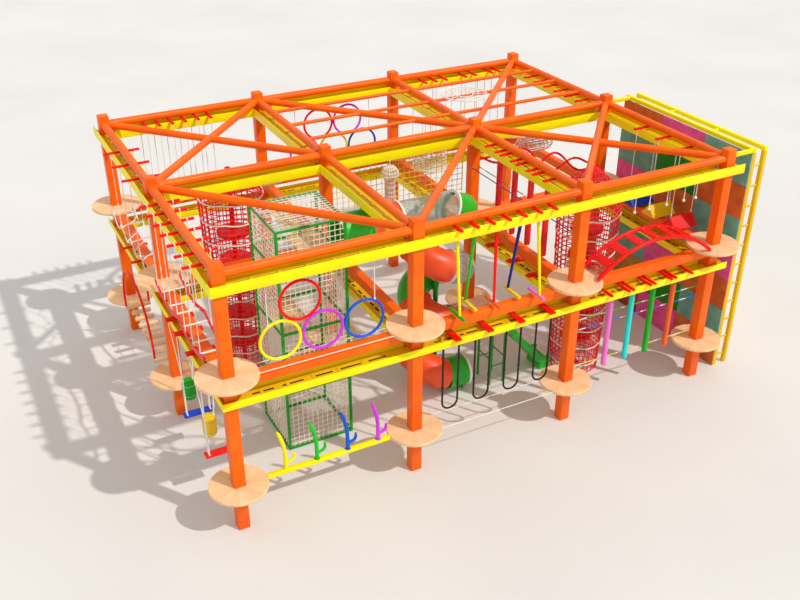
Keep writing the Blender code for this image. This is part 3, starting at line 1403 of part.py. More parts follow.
def build_bags(course):
    axis_z = web_foot(UPPER_WEB_Z)
    for index, y in enumerate(bag_ys()):
        bm = bmesh.new()
        top = axis_z - BAG_HEAD_DROP
        swing_rope(bm, (BAG_X, y, axis_z), top, (1, 0, 0))
        rod(bm, (BAG_X, y, BAG_LOW_Z), (BAG_X, y, top), BAG_R)
        course.add(f"hanging_post_{index + 1}", bm, RED, 0.45, pivot=(BAG_X, y, axis_z))


def build_steps(course):
    """Two boards and two barrels, each on a pair of ropes from one crossbar."""
    axis_z = LOWER_TRACK_TOP - GAP
    kinds = (("board", RED), ("barrel", YELLOW), ("board", BLUE), ("barrel", LEAF))
    for index, (y, (kind, colour)) in enumerate(zip(STEP_YS, kinds)):
        bm = bmesh.new()
        if kind == "board":
            top = STEP_LOW_Z + BOARD_THICKNESS
            box(bm, (-BOARD_HALF, y - BOARD_WIDTH / 2, STEP_LOW_Z), (BOARD_HALF, y + BOARD_WIDTH / 2, top))
            for side in (-1, 1):
                swing_rope(bm, (side * STEP_ROPE_HALF, y, axis_z), top, (1, 0, 0))
        else:
            top = STEP_LOW_Z + BARREL_HEIGHT
            rod(bm, (0.0, y, STEP_LOW_Z), (0.0, y, top), BARREL_R)
            for side in (-1, 1):
                seat = (side * (BARREL_R - 3 * ROPE_R), y, top)
                slanted_swing_rope(bm, (side * STEP_ROPE_HALF, y, axis_z), seat, (1, 0, 0))
        course.add(f"hanging_step_{index + 1}", bm, colour, 0.45, pivot=(0.0, y, axis_z))


def build_prisms(course):
    """Triangular prism steps on two ropes each."""
    axis_z = UPPER_TRACK_TOP - GAP
    x = column_x(3)
    for index, (y, colour) in enumerate(zip(PRISM_YS, (RED, YELLOW, BLUE))):
        bm = bmesh.new()
        corners = ((-PRISM_WIDTH / 2, 0.0), (PRISM_WIDTH / 2, 0.0), (0.0, PRISM_HEIGHT))
        ends = []
        for side in (-1, 1):
            end_x = x + side * PRISM_LENGTH / 2
            ends.append([bm.verts.new((end_x, y + a, PRISM_LOW_Z + b)) for a, b in corners])
        bm.faces.new(ends[0])
        bm.faces.new(ends[1])
        for k in range(3):
            after = (k + 1) % 3
            bm.faces.new((ends[0][k], ends[0][after], ends[1][after], ends[1][k]))
        for side in (-1, 1):
            at = x + side * (PRISM_LENGTH / 2 - 2 * ROPE_R)
            swing_rope(bm, (at, y, axis_z), PRISM_LOW_Z + PRISM_HEIGHT - 2 * ROPE_R, (1, 0, 0))
        course.add(f"prism_step_{index + 1}", bm, colour, 0.5, pivot=(x, y, axis_z))


def build_lanyards(course):
    """Belay lanyards on trolleys that are coupled by a bar and run under the upper track's web."""
    bm = bmesh.new()
    top = UPPER_WEB_Z - TRACK_WEB / 2 - GAP
    low = top - TROLLEY_HEIGHT
    box(bm, (LANYARD_XS[0], -TROLLEY_WIDTH / 8, low + WELD),
        (LANYARD_XS[-1], TROLLEY_WIDTH / 8, low + 3 * WELD))
    for x in LANYARD_XS:
        box(bm, (x - TROLLEY_LENGTH / 2, -TROLLEY_WIDTH / 2, low),
            (x + TROLLEY_LENGTH / 2, TROLLEY_WIDTH / 2, top))
        bead = low - LANYARD_LENGTH
        rope(bm, (x, 0.0, low + WELD), (x, 0.0, bead - WELD))
        rod(bm, (x, 0.0, bead), (x, 0.0, bead - 2 * LANYARD_BEAD_R), LANYARD_BEAD_R, 6)
    course.add("belay_lanyards", bm, CREAM, 0.7, pivot=(LANYARD_XS[0], 0.0, top))


def main():
    clear_scene()
    course = Course()
    for step in (build_portals, build_bracing, build_upper_deck, build_tracks, build_balance_beam,
                 build_guide_ropes, build_arch_bridge, build_plank_bridge, build_ladder_bridge,
                 build_tower, build_tower_net, build_net_towers, build_crawl_tube, build_slide,
                 build_chute, build_net_basket, build_curtain, build_hung_bridges, build_wave_rails,
                 build_wall, build_hoops, build_loops, build_poles, build_logs, build_bags,
                 build_steps, build_prisms, build_lanyards):
        step(course)


if __name__ == "__main__":
    main()
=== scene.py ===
"""Rope course of posts, belay tracks, nets, slides, bridges and hanging steps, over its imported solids."""

import logging
import math
from dataclasses import dataclass
from enum import Enum
from typing import Sequence

import bpy
import numpy as np
from mathutils import Euler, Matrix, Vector
from numpy.typing import ArrayLike, NDArray


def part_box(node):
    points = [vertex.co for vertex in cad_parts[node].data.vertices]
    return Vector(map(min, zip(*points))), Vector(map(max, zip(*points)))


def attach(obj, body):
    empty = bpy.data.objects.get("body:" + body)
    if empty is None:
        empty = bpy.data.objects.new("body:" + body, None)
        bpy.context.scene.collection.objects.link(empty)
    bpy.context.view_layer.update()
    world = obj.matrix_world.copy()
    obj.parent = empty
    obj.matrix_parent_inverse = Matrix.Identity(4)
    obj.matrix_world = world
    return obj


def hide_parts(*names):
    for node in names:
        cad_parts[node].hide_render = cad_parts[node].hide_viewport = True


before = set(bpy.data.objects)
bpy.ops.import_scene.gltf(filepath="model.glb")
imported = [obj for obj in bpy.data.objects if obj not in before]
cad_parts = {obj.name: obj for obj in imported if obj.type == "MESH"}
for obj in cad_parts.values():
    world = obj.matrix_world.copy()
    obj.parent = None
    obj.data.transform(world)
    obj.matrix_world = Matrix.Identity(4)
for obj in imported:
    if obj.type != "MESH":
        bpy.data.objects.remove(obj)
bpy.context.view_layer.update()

LOG = logging.getLogger("rope_course")
Array = NDArray[np.float64]
Socket = bpy.types.NodeSocket

X_AXIS = (1.0, 0.0, 0.0)
Y_AXIS = (0.0, 1.0, 0.0)
Z_AXIS = (0.0, 0.0, 1.0)
SIDES = (-1, 1)
EYE = 0.03  # a rope starts this far under the axis that its shackle swings on
STEEP = 0.95  # a path that rises more than this share of its length takes Y, not Z, as its reference


@dataclass(frozen=True)
class Plan:
    """Post grid and the levels that the sub-assemblies share, in metres from the first post's axis."""

    columns: int = 4
    rows: int = 3
    bay_x: float = 4.0
    bay_y: float = 4.4
    post: float = 0.25
    post_top: float = 6.09
    roof_z: float = 5.86
    deck_r: float = 0.61
    deck_t: float = 0.075
    low_deck: float = 1.10
    high_deck: float = 3.73
    track_half: float = 0.20
    track_plate: float = 0.02
    track_overhang: float = 0.38
    high_track: float = 5.72
    high_depth: float = 0.22
    low_track: float = 3.22
    low_depth: float = 0.17
    gap: float = 0.0003
    rope_r: float = 0.010

    @property
    def length(self) -> float:
        """Distance between the first and the last column's axes."""
        return (self.columns - 1) * self.bay_x

    @property
    def depth(self) -> float:
        """Distance between the first and the last row's axes."""
        return (self.rows - 1) * self.bay_y

    @property
    def face(self) -> float:
        """From a post's axis to just clear of its face."""
        return self.post / 2 + self.gap

    @property
    def high_axis(self) -> float:
        """Level of the swing axes just under the upper track's web."""
        return self.high_track - (self.high_depth + self.track_plate) / 2 - self.gap

    @property
    def low_axis(self) -> float:
        """Level of the swing axes just under the lower track's web."""
        return self.low_track - (self.low_depth + self.track_plate) / 2 - self.gap

    def rim(self, off: float) -> float:
        """From a post's axis to just clear of its platform's rim, on a line that passes the axis at this distance."""
        return math.sqrt(self.deck_r ** 2 - off ** 2) + self.gap

    def grid(self, z: float) -> Array:
        """Post axes at one level, shaped columns x rows x 3."""
        return at(np.arange(self.columns)[:, None] * self.bay_x, np.arange(self.rows) * self.bay_y, z)

    def runs(self, z: float) -> tuple[Array, Array, Array]:
        """Every clear run between neighbouring posts.

        Args:
            z: Level of the runs.

        Returns:
            The runs' starts, their ends and their unit directions.
        """
        grid = self.grid(z)
        starts = np.concatenate((grid[:-1].reshape(-1, 3), grid[:, :-1].reshape(-1, 3)))
        ends = np.concatenate((grid[1:].reshape(-1, 3), grid[:, 1:].reshape(-1, 3)))
        return starts, ends, unit(ends - starts)


PLAN = Plan()
FRAME_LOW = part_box("front_portal")[0]
ORIGIN = np.array((FRAME_LOW[0] + PLAN.deck_r, FRAME_LOW[1] + PLAN.deck_r, 0.0))


# Surfaces as arrays


@dataclass
class Shell:
    """A surface as arrays.

    Points, faces as rows of corner numbers, each corner's way (metres along the surface and round it), and each
    point's tone from 0 to 1, which tells one board or log from the next.
    """

    points: Array
    faces: list[NDArray[np.int64]]
    ways: list[Array]
    tones: Array


def at(x: ArrayLike, y: ArrayLike, z: ArrayLike) -> Array:
    """Points from their coordinates, where a single number stands for all of them."""
    return np.stack(np.broadcast_arrays(x, y, z), axis=-1).astype(float)


def unit(vectors: Array) -> Array:
    """Each vector divided by its length."""
    return vectors / np.maximum(np.linalg.norm(vectors, axis=-1, keepdims=True), 1e-12)


def between(start: ArrayLike, end: ArrayLike, count: int) -> Array:
    """Evenly spaced points (1 - t) start + t end on each line from a start to its end."""
    start, end, t = np.asarray(start, float), np.asarray(end, float), np.linspace(0, 1, count)[:, None]
    return start[..., None, :] * (1 - t) + end[..., None, :] * t


def run_of(lines: Array) -> Array:
    """How far along its line each point lies."""
    steps = np.linalg.norm(np.diff(lines, axis=-2), axis=-1)
    return np.concatenate((np.zeros((*steps.shape[:-1], 1)), np.cumsum(steps, axis=-1)), axis=-1)


def join(*shells: Shell) -> Shell:
    """Several shells as one, with the corner numbers moved on.

    Args:
        *shells: The shells, in order.

    Returns:
        One shell.
    """
    starts = np.cumsum([0] + [len(shell.points) for shell in shells[:-1]])
    return Shell(np.concatenate([shell.points for shell in shells]),
                 [part + start for shell, start in zip(shells, starts) for part in shell.faces],
                 [part for shell in shells for part in shell.ways], np.concatenate([shell.tones for shell in shells]))


def tone_of(numbers: Array) -> Array:
    """Tone for each board or log: the fraction of 0.618 times its number, so that neighbours differ."""
    return np.modf(0.618 * numbers + 0.31)[0]


def circle(radius: float, sides: int) -> Array:
    """Circle: (radius cos a, radius sin a) for evenly spaced angles a."""
    angle = np.arange(sides) * 2 * np.pi / sides
    return radius * np.stack((np.cos(angle), np.sin(angle)), axis=1)


def oblong(width: float, height: float, corner: float = 0.006, steps: int = 2) -> Array:
    """Rectangle with round corners: each corner's centre plus corner times (cos a, sin a) over its quarter turn.

    Args:
        width: Size along the first axis.
        height: Size along the second axis.
        corner: Radius of the corners.
        steps: Edges in each corner.

    Returns:
        The profile's points, anticlockwise.
    """
    angle = np.linspace(0, np.pi / 2, steps + 1)[None, :] + np.arange(4)[:, None] * np.pi / 2
    centre = np.array(((1, 1), (-1, 1), (-1, -1), (1, -1))) * (width / 2 - corner, height / 2 - corner)
    return (centre[:, None] + corner * np.stack((np.cos(angle), np.sin(angle)), axis=2)).reshape(-1, 2)


def tangents_of(paths: Array, closed: bool = False) -> Array:
    """Unit direction at each point: the next point less the one before it."""
    line = np.pad(paths, ((0, 0), (1, 1), (0, 0)), mode="wrap" if closed else "edge")
    return unit(line[:, 2:] - line[:, :-2])


def patches(grid: Array) -> Array:
    """The four values round each cell of a grid: those at (i, k), (i + 1, k), (i + 1, k + 1) and (i, k + 1)."""
    return np.stack((grid[:, :-1, :-1], grid[:, 1:, :-1], grid[:, 1:, 1:], grid[:, :-1, 1:]), axis=3)


def carry(paths: Array, profile: Array, ref: Sequence[float] | None = None, scale: ArrayLike = 1.0,
          closed: bool = False, tangents: Array | None = None) -> Shell:
    """Carries a closed profile along one or more paths.

    Corner (i, k) lies at path[i] + scale[i] * (profile[k, 0] * side[i] + profile[k, 1] * top[i]), where
    side = tangent x ref and top = side x tangent. Open paths get a flat cap at each end.

    Args:
        paths: Points of one path, or of several with as many points each.
        profile: Points of the profile, anticlockwise.
        ref: Direction that the profile's second axis leans to. None takes Z, or Y on steep paths.
        scale: Size of the profile at each point.
        closed: Whether each path runs back to its first point.
        tangents: Directions to use instead of the paths' own.

    Returns:
        The closed shell.
    """
    paths = paths[None] if paths.ndim == 2 else paths
    count, rows, sides = *paths.shape[:2], len(profile)
    tangents = tangents_of(paths, closed) if tangents is None else np.broadcast_to(tangents, paths.shape)
    if ref is None:
        steep = np.abs(tangents[:, :, 2]).max(axis=1) > STEEP
        ref = np.where(steep[:, None], Y_AXIS, Z_AXIS)[:, None]
    side = unit(np.cross(tangents, ref))
    lean = profile[:, 0, None] * side[:, :, None] + profile[:, 1, None] * np.cross(side, tangents)[:, :, None]
    spots = paths[:, :, None] + np.broadcast_to(scale, (count, rows))[..., None, None] * lean
    number = np.arange(count * rows * sides).reshape(count, rows, sides)
    quads = patches(np.pad(number, ((0, 0), (0, int(closed)), (0, 1)), mode="wrap")).reshape(-1, 4)
    about = run_of(np.concatenate((profile, profile[:1])))
    along = run_of(np.concatenate((paths, paths[:, :1]),
                                  axis=1) if closed else paths) + 1.37 * np.arange(count)[:, None]
    ways = patches(np.stack(np.broadcast_arrays(along[..., None], about), axis=-1)).reshape(-1, 4, 2)
    tones = np.repeat(tone_of(np.arange(count)), rows * sides)
    caps = [] if closed else [number[:, 0], number[:, -1, ::-1]]
    flat = np.broadcast_to(profile, (count, sides, 2))
    return Shell(spots.reshape(-1, 3), [quads, *caps], [ways] + [flat] * len(caps), tones)


def rod(paths: Array, radius: float, sides: int = 8, ref: Sequence[float] | None = None, scale: ArrayLike = 1.0,
        closed: bool = False) -> Shell:
    """A circle carried along one or more paths."""
    return carry(paths, circle(radius, sides), ref, scale, closed)


def bars(starts: Array, ends: Array, profile: Array, bite: float = 0.0, ref: Sequence[float] | None = None) -> Shell:
    """Straight bars from starts to ends, each with its ends drawn in a little.

    Args:
        starts: Start of each bar's axis.
        ends: End of each bar's axis.
        profile: The bars' section.
        bite: Length of the chamfer at each end; the section shrinks by as much.
        ref: Direction of the section's second axis.

    Returns:
        One shell with all the bars.
    """
    starts, ends = np.atleast_2d(starts), np.atleast_2d(ends)
    if bite <= 0:
        return carry(np.stack((starts, ends), axis=1), profile, ref)
    step = unit(ends - starts) * bite
    small = 1.0 - bite / np.abs(profile).max()
    return carry(np.stack((starts, starts + step, ends - step, ends), axis=1), profile, ref, (small, 1.0, 1.0, small))


def beams(starts: Array, step: ArrayLike, profile: Array, bite: float = 0.0,
          ref: Sequence[float] | None = None) -> Shell:
    """Straight bars that each run one step on from their start."""
    return bars(starts, starts + step, profile, bite, ref)


def spread(middle: Array, reach: ArrayLike, profile: Array, bite: float = 0.0,
           ref: Sequence[float] | None = None) -> Shell:
    """Straight bars that reach as far to both sides of their middle."""
    return bars(middle - reach, middle + reach, profile, bite, ref)


def pipe(path: Array, outer: float, wall: float, sides: int) -> Shell:
    """Open pipe: a circle carried out along the path at the outer radius and back at the inner one.

    Args:
        path: The pipe's centre line.
        outer: Outer radius.
        wall: Thickness of the wall.
        sides: Sides of the circle.

    Returns:
        A closed shell with two rims.
    """
    there = tangents_of(path[None])[0]
    return carry(np.concatenate((path, path[::-1])), circle(1.0, sides), Z_AXIS,
                 np.repeat((outer, outer - wall), len(path)), True, np.concatenate((there, there[::-1])))


def hoop(centre: ArrayLike, radius: float, thickness: float, normal: Sequence[float] = Z_AXIS, steps: int = 64,
         sides: int = 12) -> Shell:
    """Ring: a small circle carried round centre + radius * (cos a * first + sin a * second).

    Args:
        centre: The ring's centre.
        radius: Radius of the ring's middle line.
        thickness: Radius of the small circle.
        normal: Direction square to the ring; first and second lie square to it.
        steps: Points round the ring.
        sides: Sides of the small circle.

    Returns:
        The ring.
    """
    first, ring = np.array(X_AXIS if abs(normal[0]) < 0.5 else Y_AXIS), circle(radius, steps)
    line = np.asarray(centre) + ring[:, :1] * first + ring[:, 1:] * np.cross(normal, first)
    return rod(line, thickness, sides, normal, closed=True)


def beads(centres: Array, radius: float, sides: int = 10) -> Shell:
    """Small faceted balls: a circle carried up through each centre, narrow at both ends."""
    rise = at(0, 0, np.array((-1.0, -0.5, 0.5, 1.0)) * radius)
    return rod(np.atleast_2d(centres)[:, None] + rise, radius, sides, Y_AXIS, (0.45, 0.95, 0.95, 0.45))


def smooth_path(corners: Array, reach: float, steps: int) -> Array:
    """Line through corners with each inner corner rounded.

    Round a corner P with legs towards A and B the curve is (1-t)^2 A + 2t(1-t) P + t^2 B, where A and B lie
    the reach away from P, or half a leg where that is shorter.

    Args:
        corners: The corners of the line.
        reach: How far before and after a corner the curve starts and ends.
        steps: Points on each curve.

    Returns:
        The points of the rounded line.
    """
    cut = np.minimum(reach, np.diff(run_of(corners)) / 2.01)[:, None]
    middle, way = corners[1:-1], unit(np.diff(corners, axis=0))
    before, after = middle - way[:-1] * cut[:-1], middle + way[1:] * cut[1:]
    t = np.linspace(0, 1, steps)[None, :, None]
    curve = (1 - t) ** 2 * before[:, None] + 2 * t * (1 - t) * middle[:, None] + t ** 2 * after[:, None]
    return np.concatenate((corners[:1], curve.reshape(-1, 3), corners[-1:]))


def netting(grid: Array, radius: float, ring: bool = False, ref: Sequence[float] | None = None,
            knots: float = 0.0) -> Shell:
    """Knotted net: a four-sided cord along every row and every column of a grid of points.

    Args:
        grid: Points of the net's crossings, shaped rows x columns x 3.
        radius: Radius of the cord.
        ring: Whether the rows run round in closed level rings.
        ref: Reference direction of the cords.
        knots: Radius of the knots as a multiple of the cord's; 0 leaves them out.

    Returns:
        One shell with every cord.
    """
    parts = [rod(grid, radius, 4, Z_AXIS if ring else ref, closed=ring), rod(grid.transpose(1, 0, 2), radius, 4, ref)]
    return join(*parts, *([beads(grid.reshape(-1, 3), radius * knots, 5)] if knots > 0 else []))


def netting_edges(grid: Array, radius: float, keep: NDArray[np.bool_], ref: Sequence[float]) -> Shell:
    """Net with an opening: every stretch of cord between two crossings that are both kept.

    Args:
        grid: Points of the crossings, shaped rows x columns x 3.
        radius: Radius of the cord.
        keep: Which crossings are there.
        ref: Reference direction of the cords.

    Returns:
        One shell with every stretch and a knot at each crossing.
    """
    across, up = keep[:, 1:] & keep[:, :-1], keep[1:] & keep[:-1]
    starts = np.concatenate((grid[:, :-1][across], grid[:-1][up]))
    ends = np.concatenate((grid[:, 1:][across], grid[1:][up]))
    return join(bars(starts, ends, circle(radius, 4), ref=ref), beads(grid[keep], radius * 1.5, 5))


def wedge_disc(centre: Sequence[float], top: float, boards: int = 20) -> Shell:
    """Round platform of wedge boards round a post's square hole, with a V groove between boards.

    A corner at angle a and share f lies at radius inner(a) * (1 - f) + rim * f, where inner(a) is the distance
    to the square hole. Its way is (radius, boards passed since angle 0).

    Args:
        centre: Plan position of the post's axis.
        top: Height of the upper face.
        boards: How many wedge boards make up the disc.

    Returns:
        A closed shell.
    """
    groove, edge = 0.004, 0.008
    parts = np.array((0.0, 0.018, 0.25, 0.5, 0.75, 0.982))
    turn = ((np.arange(boards)[:, None] + parts) / boards).ravel()
    ring = np.stack((np.cos(turn * 2 * np.pi), np.sin(turn * 2 * np.pi)))
    rim, low = 1.0 - edge / PLAN.deck_r, top - PLAN.deck_t
    share = np.array((0.0, 0.3, 0.65, rim, 1.0, 1.0, rim, 0.0))[:, None]
    level = np.array((top, top, top, top, top - edge, low + edge, low, low))[:, None]
    radius = PLAN.face / np.abs(ring).max(axis=0) * (1 - share) + PLAN.deck_r * share
    cut = np.where(np.arange(len(turn)) % len(parts) == 0, groove, 0.0) * (level == top)
    spots = at(centre[0] + radius * ring[0], centre[1] + radius * ring[1], level - cut)
    number = np.pad(np.arange(radius.size).reshape(1, *radius.shape), ((0, 0), (0, 1), (0, 1)), mode="wrap")
    passed = np.append(turn, 1.0) * boards
    ways = np.stack(np.broadcast_arrays(np.pad(radius, ((0, 1), (0, 1)), mode="wrap"), passed), axis=-1)
    tones = np.tile(np.repeat(tone_of(np.arange(boards)), len(parts)), len(level))
    return Shell(spots.reshape(-1, 3), [patches(number).reshape(-1, 4)],
                 [patches(ways[None]).reshape(-1, 4, 2)], tones)


# Finishes


def linear(colour: str) -> tuple[float, float, float, float]:
    """An sRGB hex colour such as #FF6E00 as linear red, green, blue and alpha."""
    parts = [int(colour[i:i + 2], 16) / 255 for i in (1, 3, 5)]
    return (*(c / 12.92 if c <= 0.04045 else ((c + 0.055) / 1.055) ** 2.4 for c in parts), 1.0)


class Pattern(Enum):
    """Patterns that a skin can be drawn with."""

    NOISE = "TexNoise"
    CELLS = "TexVoronoi"


@dataclass(frozen=True)
class Texture:
    """A pattern, the width of one of its cells in millimetres and, for noise, its detail."""

    pattern: Pattern
    cell_mm: float
    detail: float = 0.0


@dataclass(frozen=True)
class Graph:
    """The shader nodes of one material."""

    tree: bpy.types.NodeTree

    def fill(self, node: bpy.types.Node, inputs: dict[str | int, object]) -> None:
        """Sets or links a node's inputs.

        Args:
            node: The node.
            inputs: Value, or output socket to link, for each input by name or number.
        """
        for key, value in inputs.items():
            if isinstance(value, Socket):
                self.tree.links.new(value, node.inputs[key])
            else:
                node.inputs[key].default_value = value

    def add(self, kind: str, inputs: dict[str | int, object], out: str | int = 0, **settings: object) -> Socket:
        """Adds a node with its settings and inputs.

        Args:
            kind: The node's type, without its prefix.
            inputs: Value, or output socket to link, for each input by name or number.
            out: Which output to give back.
            **settings: Properties of the node.

        Returns:
            The output.
        """
        node = self.tree.nodes.new("ShaderNode" + kind)
        for name, value in settings.items():
            setattr(node, name, value)
        self.fill(node, inputs)
        return node.outputs[out]

    def texture(self, place: Socket, texture: Texture) -> Socket:
        """A texture node at the place."""
        detail = {"Detail": texture.detail} if texture.pattern is Pattern.NOISE else {}
        return self.add(texture.pattern.value, {"Vector": place, "Scale": 1000 / texture.cell_mm, **detail})

    def bump(self, height: Socket, strength: float, distance: float) -> Socket:
        """A bump node on the height."""
        return self.add("Bump", {"Height": height, "Strength": strength, "Distance": distance})

    def span(self, value: Socket, low: float, high: float) -> Socket:
        """The value spread from 0 to 1 onto the range from low to high."""
        return self.add("MapRange", {"Value": value, "To Min": low, "To Max": high})

    def two_tone(self, share: Socket, low: str, high: str, ends: tuple[float, float] = (0.3, 0.7)) -> Socket:
        """A colour ramp.

        Args:
            share: What the colour follows.
            low: Hex colour up to the first end.
            high: Hex colour from the second end on.
            ends: Shares between which the colour runs from one to the other.

        Returns:
            The colour.
        """
        out = self.add("ValToRGB", {0: share})
        for stop, place, colour in zip(out.node.color_ramp.elements, ends, (low, high)):
            stop.position, stop.color = place, linear(colour)
        return out


@dataclass(frozen=True)
class Finish:
    """What a piece is made of: the real material's name, and its darker and lighter tone as sRGB hex colours."""

    name: str
    low: str
    high: str

    def material(self) -> bpy.types.Material:
        """The finish as a material, made on first use.

        Returns:
            The material.
        """
        found = bpy.data.materials.get(self.name)
        if found:
            return found
        made = bpy.data.materials.new(self.name)
        made.use_nodes = True
        graph = Graph(made.node_tree)
        graph.fill(made.node_tree.nodes["Principled BSDF"], self.dress(graph))
        made.diffuse_color = linear(self.high)
        return made

    def dress(self, graph: Graph) -> dict[str, object]:
        """Adds the finish's own nodes and gives back what goes into the shader's sockets."""
        raise NotImplementedError


@dataclass(frozen=True)
class Skin(Finish):
    """Even skin: a broad texture shifts the tone and the gloss, and a fine one, drawn coarse to show, the relief."""

    broad: Texture
    fine: Texture | None = None
    relief: tuple[float, float] = (0.0, 0.0)
    rough: tuple[float, float] = (0.5, 0.5)
    others: tuple[tuple[str, float], ...] = ()

    def dress(self, graph: Graph) -> dict[str, object]:
        """Textures placed by the object's own coordinates.

        Args:
            graph: The material's nodes.

        Returns:
            Value or output for each of the shader's sockets that is set.
        """
        place = graph.add("TexCoord", {}, "Object")
        broad = graph.texture(place, self.broad)
        fine = graph.texture(place, self.fine) if self.fine else None
        rough = graph.span(broad, *self.rough) if self.rough[0] < self.rough[1] else self.rough[0]
        relief = {"Normal": graph.bump(fine, *self.relief)} if fine else {}
        return {"Base Color": graph.two_tone(broad, self.low, self.high), "Roughness": rough, **relief,
                **dict(self.others)}


@dataclass(frozen=True)
class PowderCoat(Skin):
    """Powder-coated steel: an even colour with soft broad tone changes, a faint orange peel and a satin gloss."""

    broad: Texture = Texture(Pattern.NOISE, 700.0, 3.0)
    fine: Texture | None = Texture(Pattern.NOISE, 9.0, 1.0)
    relief: tuple[float, float] = (0.12, 0.0006)
    rough: tuple[float, float] = (0.32, 0.46)
    others: tuple[tuple[str, float], ...] = (("Specular IOR Level", 0.22),)


@dataclass(frozen=True)
class Rotomoulded(Skin):
    """Rotomoulded polyethylene: a waxy half-gloss skin with a fine pebble and slow changes of depth in the colour."""

    broad: Texture = Texture(Pattern.NOISE, 450.0, 2.0)
    fine: Texture | None = Texture(Pattern.CELLS, 12.0)
    relief: tuple[float, float] = (0.15, 0.001)
    rough: tuple[float, float] = (0.34, 0.48)
    others: tuple[tuple[str, float], ...] = (("IOR", 1.51),)


@dataclass(frozen=True)
class ClearTube(Skin):
    """Clear polycarbonate: see-through with a faint tint and scuffs; thin, so light goes through nearly straight."""

    broad: Texture = Texture(Pattern.NOISE, 90.0, 4.0)
    rough: tuple[float, float] = (0.03, 0.22)
    others: tuple[tuple[str, float], ...] = (("Transmission Weight", 0.88), ("IOR", 1.06))


@dataclass(frozen=True)
class GritPanel(Skin):
    """Textured climbing panel: painted plywood with sharp sand in the paint and the face worn pale in places."""

    broad: Texture = Texture(Pattern.NOISE, 260.0, 5.0)
    fine: Texture | None = Texture(Pattern.NOISE, 7.0, 3.0)
    relief: tuple[float, float] = (0.7, 0.002)
    rough: tuple[float, float] = (0.85, 0.85)


@dataclass(frozen=True)
class Plated(Skin):
    """Zinc-plated steel: a bright metal with spangled patches that differ in tone and gloss."""

    broad: Texture = Texture(Pattern.CELLS, 14.0)
    rough: tuple[float, float] = (0.25, 0.45)
    others: tuple[tuple[str, float], ...] = (("Metallic", 1.0),)


@dataclass(frozen=True)
class Timber(Finish):
    """Varnished or stained wood: grain along each board, every board in its own tone, a thin clear coat."""

    across_mm: float = 16.0
    along_mm: float = 420.0
    gloss: float = 0.42
    board_shift: tuple[float, float, float] = (37.0, 53.0, 71.0)

    def dress(self, graph: Graph) -> dict[str, object]:
        """Noise stretched along the surface's way draws the grain; the tone attribute shifts it board by board.

        Args:
            graph: The material's nodes.

        Returns:
            Value or output for each of the shader's sockets that is set.
        """
        way = graph.add("UVMap", {}, uv_map="way")
        tone = graph.add("Attribute", {}, "Fac", attribute_name="tone")
        shift = graph.add("CombineXYZ", {"X": tone, "Y": tone, "Z": tone})
        far = graph.add("VectorMath", {0: shift, 1: self.board_shift}, operation="MULTIPLY")
        size = (1000 / self.along_mm, 1000 / self.across_mm, 1.0)
        spot = graph.add("VectorMath", {0: way, 1: size, 2: far}, operation="MULTIPLY_ADD")
        grain = graph.add("TexNoise", {"Vector": spot, "Scale": 1.0, "Detail": 4.0, "Distortion": 0.6})
        share = graph.add("Math", {0: tone, 1: 0.16, 2: grain}, operation="MULTIPLY_ADD")
        return {"Roughness": graph.span(grain, self.gloss, self.gloss + 0.2),
                "Normal": graph.bump(grain, 0.3, 0.0015),
                "Base Color": graph.two_tone(share, self.low, self.high, (0.30, 0.80)), "Coat Weight": 0.1,
                "Coat Roughness": 0.25, "Specular IOR Level": 0.3}


@dataclass(frozen=True)
class Braid(Finish):
    """Braided polyester rope: crossing strands as a diagonal weave, with painted shade darkening the grooves between
    them, and a soft sheen.
    """

    strand_mm: float = 12.0
    band: str | None = None
    sheen: float = 0.2
    band_m: float = 0.30

    def dress(self, graph: Graph) -> dict[str, object]:
        """Two sine waves that cross on the surface's way give the strands, drawn coarse to show; the darker tone in the
        grooves between them is painted shade.

        Args:
            graph: The material's nodes.

        Returns:
            Value or output for each of the shader's sockets that is set.
        """
        axis = graph.add("SeparateXYZ", {0: graph.add("UVMap", {}, uv_map="way")}).node.outputs
        waves = []
        for sign in (1.0, -1.0):
            lean = graph.add("Math", {0: axis["Y"], 1: sign, 2: axis["X"]}, operation="MULTIPLY_ADD")
            turn = graph.add("Math", {0: lean, 1: 2 * math.pi * 1000 / self.strand_mm}, operation="MULTIPLY")
            waves.append(graph.add("Math", {0: turn}, operation="SINE"))
        weave = graph.add("Math", {0: waves[0], 1: waves[1]}, operation="MULTIPLY")
        share = graph.add("MapRange", {"Value": weave, "From Min": -1.0})
        # painted shade: the grooves between the strands take the darker tone
        colour = graph.two_tone(share, self.low, self.high, (0.1, 0.6))
        if self.band:
            count = graph.add("Math", {0: axis["X"], 1: self.band_m}, operation="PINGPONG")
            here = graph.add("Math", {0: count, 1: self.band_m * 0.68}, operation="GREATER_THAN")
            colour = graph.add("Mix", {0: here, 6: colour, 7: linear(self.band)}, 2, data_type="RGBA")
        return {"Base Color": colour, "Roughness": 0.72, "Normal": graph.bump(share, 0.5, 0.002),
                "Sheen Weight": self.sheen, "Sheen Roughness": 0.5}


def family(kind: type[Finish], label: str, *rows: str, **settings: object) -> list[Finish]:
    """Finishes of one kind, from rows that give a colour's name, its darker tone and its lighter tone."""
    return [kind(f"{label} {name}", low, high, **settings) for name, low,
            high in (row.rsplit(" ", 2) for row in rows)]
